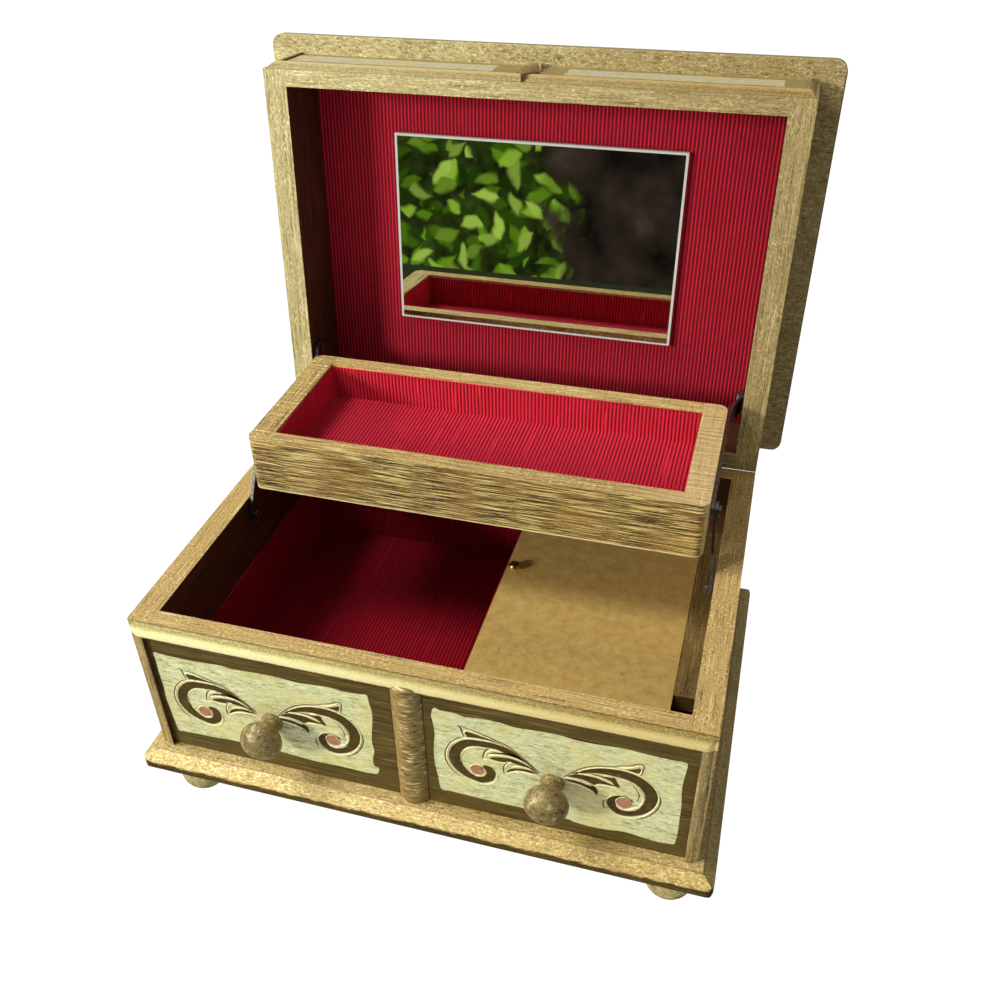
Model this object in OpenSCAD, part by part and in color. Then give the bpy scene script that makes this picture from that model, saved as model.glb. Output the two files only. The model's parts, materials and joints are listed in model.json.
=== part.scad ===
// Musical dressing box: wooden case with two mock drawers, hinged mirror lid and a lift-up tray.
// Box lengths are worked out with the front edge at y = 0 and the top of the case walls at z = 0,
// then moved so that the origin lies on the table under the middle of the opened box.

/* [Case] */
// Width of the case over its side walls
case_w = 220; // [190:1:280]
// Depth of the case from front edge to back face
case_d = 157; // [145:1:210]
// Height of the case walls above the plinth
case_h = 69.4; // [64:0.2:110]
// Thickness of each side wall
side_t = 9.8; // [8:0.2:14]
// Thickness of the front wall and the lid's front rail
front_t = 8; // [7:0.2:14]
// Thickness of the back wall and the lid's back rail
back_t = 8; // [6:0.2:12]
// Thickness of the bottom board between the walls
bottom_t = 4.5; // [3:0.5:8]
// Thickness of the padded cloth lining
lining_t = 1; // [0.6:0.1:1.6]
// Distance from the rim down to the cover board and the top of the lining
well_depth = 30.6; // [24:0.2:40]

/* [Front] */
// Height of the moulding along the rim
moulding_h = 7.8; // [6:0.5:12]
// Width of the moulding down each side
stile_w = 4.8; // [3:0.2:7]
// How far the moulding's outer edge is set back from its lip
edge_set = 1.2; // [0.4:0.1:2]
// How far the painted panels lie behind the lip
panel_set = 1.8; // [1:0.1:2.5]
// Thickness of the painted panels
panel_t = 2.4; // [1.5:0.1:3]
// Width of the half-round divider at the panels
divider_w = 12; // [8:0.5:16]
// How far the divider stands out in front of the lip
divider_out = 1.8; // [1:0.1:3]

/* [Knobs] */
// Diameter of a knob's flattened ball
knob_d = 16.6; // [12:0.2:22]
// Thickness of the ball from front to back
knob_t = 12; // [8:0.2:18]
// Distance from the painted panel to the middle of the ball
knob_reach = 10.4; // [9.2:0.1:14]
// Diameter of a knob's neck
knob_neck_d = 8; // [6:0.5:9]
// Distance of the left knob from the middle of the front
left_knob_x = 56.8; // [45:0.2:70]
// Distance of the right knob from the middle of the front
right_knob_x = 54.8; // [45:0.2:70]
// Distance of the knobs below the rim
knob_drop = 42.4; // [30:0.1:50]

/* [Plinth and feet] */
// How far the plinth stands out round the case
plinth_out = 7.2; // [4:0.2:12]
// Thickness of the plinth board
plinth_t = 9.2; // [6:0.2:14]
// Width of the flat ledge between the case and the plinth's bevel
plinth_ledge = 2.4; // [0:0.2:4]
// Drop of the bevel along the plinth's edge
plinth_bevel = 4; // [2:0.2:5]
// Radius of the plinth's corners
plinth_corner = 3.5; // [2:0.5:8]
// Diameter of a turned foot
foot_d = 20; // [14:0.5:28]
// Height of a foot under the plinth
foot_h = 22; // [20:0.5:30]
// Distance from the case's faces in to the middle of a foot
foot_inset = 9.5; // [8:0.5:20]

/* [Lid] */
// Height of the lid's rails
lid_h = 30; // [26:0.5:45]
// Thickness of the lid's top board
lid_board_t = 8.2; // [6:0.2:12]
// Drop of the bevel along the top board's edge
lid_bevel = 4; // [2:0.2:5]
// Overhang of the top board at each side
lid_out_side = 9.5; // [5:0.5:12]
// Overhang of the top board at the front
lid_out_front = 7.5; // [4:0.5:12]
// Overhang of the top board at the back
lid_out_back = 4; // [1:0.5:6]
// Radius of the top board's corners
lid_corner = 5; // [3:0.5:10]
// Angle to which the lid opens
open_angle = 94.5; // [80:0.5:105]
// Gap between lid and case when shut
rim_gap = 0.3; // [0.3:0.1:1]
// How far the lid's front moulding stands out in front of the case's
lid_proud = 0.6; // [0:0.1:1]
// How far the lid moulding's outer edge is set back from its lip
lid_edge_set = 2; // [0.6:0.1:2.6]
// How far the lid's painted panels lie behind the lip
lid_panel_set = 0.7; // [0.3:0.1:2]
// Width of the half-round divider on the lid's front
lid_divider_w = 9; // [6:0.5:14]
// How far the lid's divider stands out in front of the lip
lid_divider_out = 0.8; // [0.2:0.1:3]
// Distance of the lid's divider from the middle, to the right
lid_divider_x = -1; // [-6:0.5:6]
// Width of the painted field's bare margin on the top board
field_margin = 17; // [14:1:30]
// Thickness of the painted field on the top board
field_t = 1.6; // [1:0.2:3]

/* [Mirror] */
// Width of the mirror
mirror_w = 127.6; // [90:0.2:160]
// Height of the mirror as seen with the lid open
mirror_h = 84.5; // [60:0.5:100]
// Thickness of the mirror glass
mirror_t = 2; // [1.5:0.5:4]
// Distance from the lid's front rail to the mirror
mirror_gap = 21.4; // [10:0.2:30]

/* [Tray] */
// Gap between each end of the tray and the case wall, which the straps lie in
tray_end_gap = 5.8; // [5.8:0.1:12]
// Depth of the tray
tray_d = 74.4; // [60:0.2:84]
// Height of the tray
tray_h = 24.7; // [20:0.1:30]
// Thickness of the tray's side pieces
tray_side_t = 10; // [6:0.2:12]
// Thickness of the tray's front piece
tray_front_t = 7.4; // [5:0.1:10]
// Thickness of the tray's back piece
tray_back_t = 7; // [5:0.1:10]
// Radius of the tray's upright corners
tray_corner = 4; // [2:0.5:5]
// Thickness of the tray's floor board
tray_floor_t = 4; // [2.5:0.5:6]
// Distance from the tray's rim down to its lined floor
tray_room = 15.8; // [12:0.2:17]
// Gap between the front wall and the lowered tray
tray_front_gap = 29.9; // [22:0.1:32]
// How far the lowered tray's rim stands above the case's rim
tray_stand = 12.2; // [4:0.1:14]

/* [Lift linkage] */
// Distance of the tray's lid pivot in front of the lid hinge
link_run = 30.8; // [28:0.1:33]
// Height of the tray's lid pivot above the lid hinge
link_rise = 8.8; // [7:0.1:10]
// Distance of the arm's pivot behind the tray's front
arm_pivot_back = 14.9; // [12:0.1:24]
// Distance of the arm's pivot below the tray's rim
arm_pivot_drop = 12.2; // [10:0.1:14]
// Width of the arms and bars
strap_w = 8; // [6:0.5:9]
// Thickness of the arms and bars
strap_t = 1.2; // [0.8:0.1:1.4]
// Diameter of the pivot pins
pivot_d = 3.2; // [2.4:0.1:4]

/* [Hinges] */
// Length of each butt hinge
hinge_l = 24; // [16:1:34]
// Distance of each hinge from the middle of the back
hinge_x = 62; // [45:1:75]
// Height of a hinge leaf
hinge_leaf_h = 12; // [9:0.5:16]
// Thickness of a hinge leaf
hinge_leaf_t = 0.8; // [0.6:0.1:0.9]
// Outer diameter of the hinge knuckle
knuckle_d = 3.6; // [3.2:0.1:4]
// Diameter of the hinge pin
hinge_pin_d = 1.8; // [1.2:0.1:2]

/* [Movement] */
// Width of the compartment that the movement sits in
movement_room = 82.4; // [82:0.2:92]
// Thickness of the partition
partition_t = 7; // [6:0.5:10]
// Thickness of the cover board
cover_t = 2.4; // [1.6:0.2:4]
// Width of the strip that carries the cover board
strip_w = 8.4; // [6:0.2:10]
// Diameter of the screws that hold the cover board
cover_screw_d = 2.4; // [2:0.1:3]
// Length of these screws under their heads
cover_screw_l = 10; // [8:0.5:14]
// Radius of the screw heads
cover_screw_head = 2.6; // [2.2:0.1:3.2]
// Height of the screw heads
cover_screw_head_h = 1.5; // [1.2:0.1:2]
// How far the heads stand up from the cover board
cover_proud = 1.2; // [0.5:0.1:2]
// Distance from the front wall to the front screw
cover_screw_front = 16; // [10:0.5:30]
// Distance from the front wall to the back screw
cover_screw_back = 93.6; // [60:0.1:110]
// Distance from the case's front edge to the strip's front end
strip_start = 44.4; // [20:0.2:60]
// Radius of the pinned cylinder
cyl_r = 6.5; // [5:0.1:7]
// Length of the pinned cylinder
cyl_l = 23; // [20:0.5:26]
// Number of teeth on the comb
comb_teeth = 18; // [12:1:24]
// Gear module of the wheels
gear_module = 0.4; // [0.38:0.01:0.42]
// Radius of the spring barrel
barrel_r = 13; // [11:0.5:14]
// Width of the winding key across its wings
key_w = 24; // [18:1:30]

/* [Hidden] */
$fn = 48;

// Paint and stuff colours
GOLD = "BurlyWood";
PALE_GOLD = "Khaki";
BROWN = "SaddleBrown";
GREEN = "DarkSeaGreen";
RED = "Crimson";
STEEL = "LightSteelBlue";
BRASS = "Goldenrod";

// Clearances
fit = 0.1;
turn_fit = 0.05;
gap = 0.4;
seam = 0.2;
eps = 0.01;

// Places along the box
half_w = case_w / 2;
in_x = half_w - side_t;
in_back = case_d - back_t;
partition_x = in_x - movement_room - partition_t;
panel_back = panel_set + panel_t;
floor_z = -case_h + bottom_t;
plinth_z = -case_h - plinth_t;
table_z = plinth_z - foot_h;
ball_r = foot_d / 2;

// Lid hinge axis
pin_y = case_d;

// Turn a [y, z] pair about the X axis
function turned(p, a) = [p[0] * cos(a) - p[1] * sin(a), p[0] * sin(a) + p[1] * cos(a)];

// Linkage: every crank has the same length and the same angle
link_shut = [-link_run, link_rise];
link_open = turned(link_shut, -open_angle);
lift = link_open - link_shut;
tray_w = 2 * (in_x - tray_end_gap);
tray_y = front_t + tray_front_gap;
tray_z = tray_stand - tray_h;
arm_pin = [tray_y + arm_pivot_back, tray_stand - arm_pivot_drop];
wall_pin = arm_pin - link_shut;
lid_pin = [pin_y, 0] + link_shut;

// Places across the box for the straps between tray and wall
bar_in = tray_w / 2 + seam;
arm_in = bar_in + strap_t + gap;
arm_low_in = in_x - strap_t - 2 * gap;

// Extent of the opened box, for the origin
front_reach = panel_set - knob_reach - knob_t / 2;
lid_top = lid_h + lid_board_t;
lid_far = [-case_d, lid_top];
back_reach = pin_y + turned(lid_far, -open_angle)[0];
mid_y = (front_reach + back_reach) / 2;

// Music movement, measured from the middle of its cylinder
bed_t = 3;
cyl_rise = 10;
move_x = (partition_x + partition_t + in_x) / 2 + 4;
move_y = 82;
bed_x = [-42, 28];
bed_y = [-21, 25];
post_t = 3;
gear_t = 1.8;
cyl_teeth = 40;
pinion_teeth = 10;
wheel_teeth = 15;
worm_starts = 3;
barrel_x = -cyl_l / 2 - post_t - barrel_r - 1.2;
barrel_h = 13;
arbor_r = 2.2;
gear_x = cyl_l / 2 + post_t + 2 * gap;
delay_y = -gear_module * (cyl_teeth + pinion_teeth) / 2;
wheel_r = gear_module * wheel_teeth / 2 * 1.3;
worm_r = 1.7;
worm_y = delay_y - wheel_r - worm_r + 0.1;
wheel_x = gear_x + gear_t + 2.6;
cheek_x = wheel_x + gear_t + 2.6;

// Moves box places into the part's own frame
module placed() { translate([0, -mid_y, -table_z]) children(); }

// Lid pieces are drawn shut, then swung open about the hinge pins
module opened() {
    placed()
        translate([0, pin_y, 0]) rotate([-open_angle, 0, 0]) translate([0, -pin_y, 0]) children();
}

// Tray pieces are drawn lowered, then carried up by the linkage
module lifted() { placed() translate([0, lift[0], lift[1]]) children(); }

// Both hands of a piece drawn on the right
module both() {
    children();
    mirror([1, 0, 0]) children();
}

// Upright plate with rounded corners, lying between two corners
module rounded_plate(size, r) {
    linear_extrude(size[2])
        translate([-size[0] / 2, 0])
            rounded_square(size[0], size[1], r);
}

// Rectangle with rounded corners made of circles and rectangles
module rounded_square(w, d, r) {
    translate([r, 0]) square([w - 2 * r, d]);
    translate([0, r]) square([w, d - 2 * r]);
    for (x = [r, w - r], y = [r, d - r]) translate([x, y]) circle(r);
}

// Extrude a [y, z] outline along X from x0 to x1
module along_x(x0, x1) {
    translate([x0, 0, 0])
        rotate([90, 0, 90])
            linear_extrude(x1 - x0)
                children();
}

// Slotted screw with its head's underside at z = 0 and its shank downwards
module slotted_screw(head_r, head_h, shank_r, shank_l) {
    difference() {
        rotate_extrude()
            polygon([[0, -shank_l], [shank_r * 0.4, -shank_l], [shank_r, -shank_l + shank_r],
                     [shank_r, 0], [head_r, 0], [head_r, head_h * 0.45],
                     [head_r * 0.8, head_h * 0.85], [head_r * 0.4, head_h], [0, head_h]]);
        translate([-head_r - 1, -head_r * 0.13, head_h * 0.5])
            cube([2 * head_r + 2, head_r * 0.26, head_h]);
    }
}

// Moulding seen end on: [distance from the outer edge, distance behind the lip]
function moulding(w, inset) = concat(
    [[0, inset], [0.19 * w, inset]],
    [for (i = [1:5]) [(0.19 + 0.11 * i) * w, inset * (1 - sin(18 * i))]],
    [[w, 0]]
);

// Side wall standing down from the rim, h high, with its share of the front moulding.
// The moulding's lip stands proud of y = 0, its edge is inset and the panel face is set back.
module side_wall(h, proud, inset, face) {
    stile = [for (p = moulding(stile_w, inset)) [half_w - p[0], p[1] - proud]];
    edge = [for (p = moulding(moulding_h, inset)) [p[1] - proud, -p[0]]];
    rear = face - proud + panel_t;
    intersection() {
        union() {
            translate([0, 0, -moulding_h])
                linear_extrude(moulding_h)
                    polygon(concat([[half_w, case_d]], stile, [[in_x, -proud], [in_x, case_d]]));
            translate([0, 0, -h])
                linear_extrude(h - moulding_h)
                    polygon(concat([[half_w, case_d]], stile,
                        [[half_w - stile_w, rear], [in_x, rear], [in_x, case_d]]));
        }
        along_x(in_x - 1, half_w + 1)
            polygon(concat(edge, [[-proud, -h], [case_d, -h], [case_d, 0]]));
    }
}

// Front wall hanging down from the rim between the side walls
module front_board(h, proud, inset, face) {
    edge = [for (p = moulding(moulding_h, inset)) [p[1] - proud, -p[0]]];
    rear = face - proud + panel_t;
    along_x(-in_x, in_x)
        polygon(concat(edge,
            [[rear, -moulding_h], [rear, -h], [front_t, -h], [front_t, 0]]));
}

// Back wall hanging down from the rim, with a notch for each hinge knuckle
module back_board(h) {
    difference() {
        translate([-in_x, in_back, -h]) cube([2 * in_x, back_t, h]);
        both() hinge_notch();
    }
}
module hinge_notch() {
    depth = knuckle_d / 2 + gap;
    translate([hinge_x - hinge_l / 2 - gap, case_d - depth, -knuckle_d / 2 - gap])
        cube([hinge_l + 2 * gap, depth + 1, knuckle_d + 2 * gap]);
}

// One painted panel on the right of the front, h high, from x0 outwards
module front_panel(h, x0, y0) {
    translate([x0, y0, -h]) cube([half_w - stile_w - x0, panel_t, h - moulding_h]);
}

// Half-round strip between the panels: a slice off a round bar that laps over the moulding
divider_lap = 2.2;
module divider_bar(h, w, lap, proud, face, out) {
    rise = face + out;
    r = (pow(w / 2, 2) + pow(rise, 2)) / (2 * rise);
    difference() {
        translate([0, r - out - proud, -h])
            cylinder(r = r, h = h - moulding_h + lap, $fn = 96);
        translate([-r, face - proud + panel_t, -h - 1]) cube([2 * r, 3 * r, h + 2]);
        both() translate([w / 2, face - proud - eps, -h - 1]) cube([r, 3 * r, h + 2]);
        translate([-r, front_t, -h - 1]) cube([2 * r, 3 * r, h + 2]);
        lap_bed(proud, face);
    }
}
// What the divider's lap rests on
module lap_bed(proud, face) {
    inset = proud > 0 ? lid_edge_set : edge_set;
    edge = [for (p = moulding(moulding_h, inset)) [p[1] - proud, -p[0]]];
    along_x(-in_x, in_x)
        polygon(concat(edge, [[case_d, -moulding_h], [case_d, 1], [inset - proud, 1]]));
}

// Case
module left_wall() color(GOLD) placed() mirror([1, 0, 0]) drilled_wall();
module right_wall() color(GOLD) placed() drilled_wall();
module drilled_wall() {
    difference() {
        side_wall(case_h, 0, edge_set, panel_set);
        translate([in_x - 1, wall_pin[0], wall_pin[1]])
            rotate([0, 90, 0]) cylinder(r = pivot_d / 2 + fit / 2, h = side_t * 0.6 + 1);
    }
}
module front_wall() color(GOLD) placed() front_board(case_h, 0, edge_set, panel_set);
module back_wall() color(GOLD) placed() back_board(case_h);
module bottom_board() {
    color(GOLD) placed() difference() {
        translate([-in_x, front_t, -case_h]) cube([2 * in_x, in_back - front_t, bottom_t]);
        arbor_hole();
        bed_screw_places(-case_h - 1)
            cylinder(r = bed_screw_r + fit / 2, h = case_h);
    }
}
module arbor_hole() {
    translate([move_x + barrel_x, move_y, plinth_z - 1])
        cylinder(r = arbor_r + gap, h = plinth_t + bottom_t + 2);
}
module plinth() {
    w = case_w + 2 * plinth_out;
    d = case_d + 2 * plinth_out;
    color(PALE_GOLD) placed() difference() {
        intersection() {
            translate([0, -plinth_out, plinth_z]) rounded_plate([w, d, plinth_t], plinth_corner);
            along_x(-w / 2, w / 2) bevelled(-plinth_out, case_d + plinth_out);
            translate([0, -plinth_out, 0]) rotate([90, 0, 0]) mirror([0, 0, 1])
                linear_extrude(d) bevelled(-w / 2, w / 2);
        }
        foot_places() cylinder(r = foot_pin_r + fit / 2, h = plinth_t * 0.75);
        arbor_hole();
    }
}
module bevelled(a, b) {
    lower = 1.2;
    run = plinth_out - plinth_ledge;
    polygon([[a + lower, plinth_z], [a, plinth_z + lower], [a, -case_h - plinth_bevel],
             [a + run, -case_h], [b - run, -case_h], [b, -case_h - plinth_bevel],
             [b, plinth_z + lower], [b - lower, plinth_z]]);
}
module left_front_panel() color(GREEN) placed() mirror([1, 0, 0]) drilled_panel(left_knob_x);
module right_front_panel() color(GREEN) placed() drilled_panel(right_knob_x);
module drilled_panel(x) {
    difference() {
        front_panel(case_h, divider_w / 2 + seam, panel_set);
        translate([x, panel_set - 1, -knob_drop])
            rotate([-90, 0, 0]) cylinder(r = knob_neck_d / 2 - 1 + fit / 2, h = panel_t + 2);
    }
}
module front_divider() color(GOLD) placed() divider_bar(case_h, divider_w, divider_lap, 0, panel_set, divider_out);

// Turned knob: dowel, neck and flattened ball on one axis, pointing forwards
module knob(x) {
    r = knob_d / 2;
    neck_r = knob_neck_d / 2;
    meet = asin(neck_r / r);
    translate([x, panel_set, -knob_drop])
        rotate([90, 0, 0])
            rotate_extrude()
                polygon(concat(
                    [[0, -panel_t + seam], [neck_r - 1, -panel_t + seam], [neck_r - 1, 0],
                     [neck_r + 0.5, 0], [neck_r + 0.5, 1.2], [neck_r, 2]],
                    [for (i = [0:24]) let (a = meet + (180 - meet) * i / 24)
                        [r * sin(a), knob_reach - knob_t / 2 * cos(a)]]));
}
module left_knob() color(BRASS) placed() mirror([1, 0, 0]) knob(left_knob_x);
module right_knob() color(BRASS) placed() knob(right_knob_x);

// Turned foot: dowel, neck and ball, flattened underneath
foot_pin_r = 4;
foot_flat = 1;
module foot_places() {
    for (x = [-1, 1], y = [foot_inset, case_d - foot_inset])
        translate([x * (half_w - foot_inset), y, plinth_z - eps]) children();
}
module foot(sx, back) {
    mid = foot_h - ball_r + foot_flat;
    low = acos((ball_r - foot_flat) / ball_r);
    neck = 38;
    color(PALE_GOLD) placed()
        translate([sx * (half_w - foot_inset), back ? case_d - foot_inset : foot_inset, plinth_z])
            rotate_extrude()
                polygon(concat(
                    [[0, plinth_t * 0.7], [foot_pin_r, plinth_t * 0.7], [foot_pin_r, 0],
                     [ball_r * sin(neck) + 0.8, 0], [ball_r * sin(neck) + 0.8, -1.4]],
                    [for (i = [0:20]) let (a = neck + (180 - low - neck) * i / 20)
                        [ball_r * sin(a), -mid + ball_r * cos(a)]],
                    [[0, -foot_h]]));
}
module front_left_foot() foot(-1, false);
module front_right_foot() foot(1, false);
module back_left_foot() foot(-1, true);
module back_right_foot() foot(1, true);

// Compartments
part_right = partition_x + partition_t;
module partition() {
    color(GOLD) placed() difference() {
        translate([partition_x, front_t, floor_z])
            cube([partition_t, in_back - front_t, -well_depth - cover_t - floor_z]);
        cover_screw_places() translate([0, 0, -cover_screw_l])
            cylinder(r = cover_screw_r + fit / 2, h = cover_screw_l + 1);
    }
}
module lining_box(x0, x1, top) {
    translate([0, front_t, 0]) difference() {
        translate([x0, 0, floor_z]) cube([x1 - x0, in_back - front_t, top - floor_z]);
        translate([x0 + lining_t, lining_t, floor_z + lining_t])
            cube([x1 - x0 - 2 * lining_t, in_back - front_t - 2 * lining_t, case_h]);
    }
}
module left_lining() color(RED) placed() lining_box(-in_x, partition_x, -well_depth);
module right_lining() {
    color(RED) placed() difference() {
        lining_box(part_right, in_x, -well_depth - cover_t - ledge_h);
        translate([move_x + bed_x[0] - 1, move_y + bed_y[0] - 1, floor_z - 1])
            cube([bed_x[1] - bed_x[0] + 2, bed_y[1] - bed_y[0] + 2, lining_t + 2]);
    }
}

// Cover board over the movement, its strip and its screws
ledge_w = 5;
ledge_h = 5;
cover_right = in_x - strip_w - seam;
cover_screw_r = cover_screw_d / 2;
module cover_screw_places() {
    for (y = [cover_screw_front, cover_screw_back])
        translate([partition_x + partition_t / 2, front_t + y, -well_depth]) children();
}
module cover_board() {
    color(BRASS) placed() difference() {
        translate([partition_x, front_t + seam, -well_depth - cover_t])
            cube([cover_right - partition_x, in_back - front_t - 2 * seam, cover_t]);
        cover_screw_places() translate([0, 0, -cover_t - 1])
            cylinder(r = cover_screw_r + fit / 2, h = cover_t + 2);
    }
}
module cover_screws() {
    color(BRASS) placed() cover_screw_places()
        translate([0, 0, cover_proud])
            rotate(35) slotted_screw(cover_screw_head, cover_screw_head_h, cover_screw_r,
                cover_screw_l);
}
module cover_strip() {
    color(GOLD) placed() translate([0, strip_start, 0]) difference() {
        translate([in_x - strip_w - ledge_w, 0, -well_depth - cover_t - ledge_h])
            cube([strip_w + ledge_w, in_back - strip_start, cover_t + ledge_h]);
        translate([in_x - strip_w - ledge_w - 1, -1, -well_depth - cover_t])
            cube([ledge_w + 1, in_back, cover_t + 1]);
    }
}

// Butt hinges with three knuckles: the outer two on the case, the middle one on the lid
hinge_screw_r = 0.9;
knuckle_gap = 0.3;
module at_hinges() both() translate([hinge_x, pin_y, 0]) children();
module knuckle(x0, x1, bore_r) {
    translate([x0, 0, 0]) rotate([0, 90, 0]) difference() {
        cylinder(r = knuckle_d / 2, h = x1 - x0);
        translate([0, 0, -1]) cylinder(r = bore_r, h = x1 - x0 + 2);
    }
}
// The leaf hangs down from x0 to x1 against the wood behind the axis
module leaf_plate(x0, x1) {
    translate([x0, 0, -hinge_leaf_h])
        cube([x1 - x0, hinge_leaf_t, hinge_leaf_h - hinge_pin_d / 2 - gap]);
}
module leaf_holes() {
    for (x = [-hinge_l / 3, hinge_l / 3])
        translate([x, -1, -hinge_leaf_h * 0.62])
            rotate([-90, 0, 0]) cylinder(r = hinge_screw_r + turn_fit, h = 5);
}
module case_hinge_leaves() {
    k = hinge_l / 6;
    color(BRASS) placed() at_hinges() difference() {
        union() {
            leaf_plate(-hinge_l / 2, hinge_l / 2);
            for (x = [-hinge_l / 2, k + knuckle_gap]) {
                knuckle(x, x + hinge_l / 2 - k - knuckle_gap, hinge_pin_d / 2);
                leaf_neck(x, x + hinge_l / 2 - k - knuckle_gap);
            }
        }
        leaf_holes();
        translate([-k - knuckle_gap, -knuckle_d, -knuckle_d / 2 - gap])
            cube([2 * k + 2 * knuckle_gap, 2 * knuckle_d, knuckle_d + 2 * gap]);
    }
}
module leaf_neck(x0, x1) {
    difference() {
        translate([x0, 0, -hinge_leaf_h / 2])
            cube([x1 - x0, hinge_leaf_t, hinge_leaf_h / 2]);
        translate([x0 - 1, 0, 0]) rotate([0, 90, 0])
            cylinder(r = hinge_pin_d / 2 + turn_fit, h = x1 - x0 + 2);
    }
}
module lid_hinge_leaves() {
    k = hinge_l / 6;
    color(BRASS) opened() at_hinges() mirror([0, 0, 1]) difference() {
        union() {
            leaf_plate(-hinge_l / 2, hinge_l / 2);
            knuckle(-k, k, hinge_pin_d / 2 + turn_fit);
            leaf_neck(-k, k);
        }
        leaf_holes();
        both() translate([k, -knuckle_d, -knuckle_d / 2 - gap])
            cube([hinge_l, 2 * knuckle_d, knuckle_d + 2 * gap]);
    }
}
module hinge_pins() {
    color(STEEL) placed() at_hinges()
        translate([-hinge_l / 2, 0, 0]) rotate([0, 90, 0])
            cylinder(r = hinge_pin_d / 2, h = hinge_l);
}
module leaf_screws() {
    for (x = [-hinge_l / 3, hinge_l / 3])
        translate([x, hinge_leaf_t, -hinge_leaf_h * 0.62])
            rotate([-90, 0, 0]) slotted_screw(1.7, 0.7, hinge_screw_r, hinge_leaf_t);
}
module case_hinge_screws() color(BRASS) placed() at_hinges() leaf_screws();
module lid_hinge_screws() color(BRASS) opened() at_hinges() mirror([0, 0, 1]) leaf_screws();

// Linkage pins, straps and arms, drawn on the right
pin_head_r = pivot_d / 2 + 1;
pin_head_t = 0.8;
module side_pin(x0, x1, yz, r) {
    translate([x0, yz[0], yz[1]]) rotate([0, 90, 0]) cylinder(r = r, h = x1 - x0);
}
module wall_pivots() {
    color(STEEL) placed() both() {
        side_pin(arm_low_in - gap - pin_head_t, in_x + side_t * 0.6, wall_pin, pivot_d / 2);
        side_pin(arm_low_in - gap - pin_head_t, arm_low_in - gap, wall_pin, pin_head_r);
    }
}
module lid_pivots() {
    color(STEEL) opened() both() {
        side_pin(arm_low_in - gap - pin_head_t, in_x + side_t * 0.6, lid_pin, pivot_d / 2);
        side_pin(arm_low_in - gap - pin_head_t, arm_low_in - gap, lid_pin, pin_head_r);
    }
}
module strap(a, b) {
    hull() for (p = [a, b]) translate([p[0], p[1]]) circle(strap_w / 2);
}
module tray_bars() {
    color(STEEL) lifted() both() {
        difference() {
            intersection() {
                along_x(bar_in - 1, in_x) strap(arm_pin, lid_pin);
                translate([0, 0, -case_h]) linear_extrude(2 * case_h) bar_plan();
            }
            side_pin(bar_in - 1, in_x, lid_pin, pivot_d / 2 + turn_fit);
        }
        side_pin(bar_in + strap_t - eps, arm_in + strap_t + 0.3, arm_pin, pivot_d / 2);
        side_pin(arm_in + strap_t + 0.3, arm_in + strap_t + 0.3 + pin_head_t, arm_pin, pin_head_r);
        bar_rivets();
    }
}
// The bar seen from above: straight along the tray, then cranked outwards to the lid's rail
module bar_plan() {
    a = tray_y + tray_d + 0.5;
    b = lid_pin[0] - strap_w / 2 - 1;
    end = lid_pin[0] + strap_w;
    polygon([[bar_in, 0], [bar_in, a], [arm_low_in, b], [arm_low_in, end],
             [arm_low_in + strap_t, end], [arm_low_in + strap_t, b], [bar_in + strap_t, a],
             [bar_in + strap_t, 0]]);
}
module bar_rivets() {
    for (t = [0.22, 0.56]) {
        p = arm_pin + (lid_pin - arm_pin) * t;
        side_pin(tray_w / 2 - 4, bar_in + strap_t + 0.25, p, 1.2);
        side_pin(bar_in + strap_t - eps, bar_in + strap_t + 0.25, p, 2);
    }
}
// Arm cranked outwards near its foot, so that it clears the bar and meets the wall
module arm() {
    crank_a = 0.2;
    crank_b = 0.82;
    reach = norm(link_open);
    tilt = atan2(link_open[1], link_open[0]);
    slack = pivot_d / 2 + 0.35;
    translate([0, wall_pin[0], wall_pin[1]]) rotate([tilt, 0, 0]) difference() {
        intersection() {
            along_x(arm_in - 1, in_x) strap([0, 0], [reach, 0]);
            translate([0, 0, -strap_w]) linear_extrude(2 * strap_w) polygon([
                [arm_low_in, -strap_w], [arm_low_in, reach * crank_a], [arm_in, reach * crank_b],
                [arm_in, reach + strap_w], [arm_in + strap_t, reach + strap_w],
                [arm_in + strap_t, reach * crank_b], [arm_low_in + strap_t, reach * crank_a],
                [arm_low_in + strap_t, -strap_w]]);
        }
        side_pin(arm_in - 2, in_x + 1, [0, 0], pivot_d / 2 + turn_fit);
        side_pin(arm_in - 2, in_x + 1, [reach, 0], slack);
    }
}
module left_arm() color(STEEL) placed() mirror([1, 0, 0]) arm();
module right_arm() color(STEEL) placed() arm();

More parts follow.
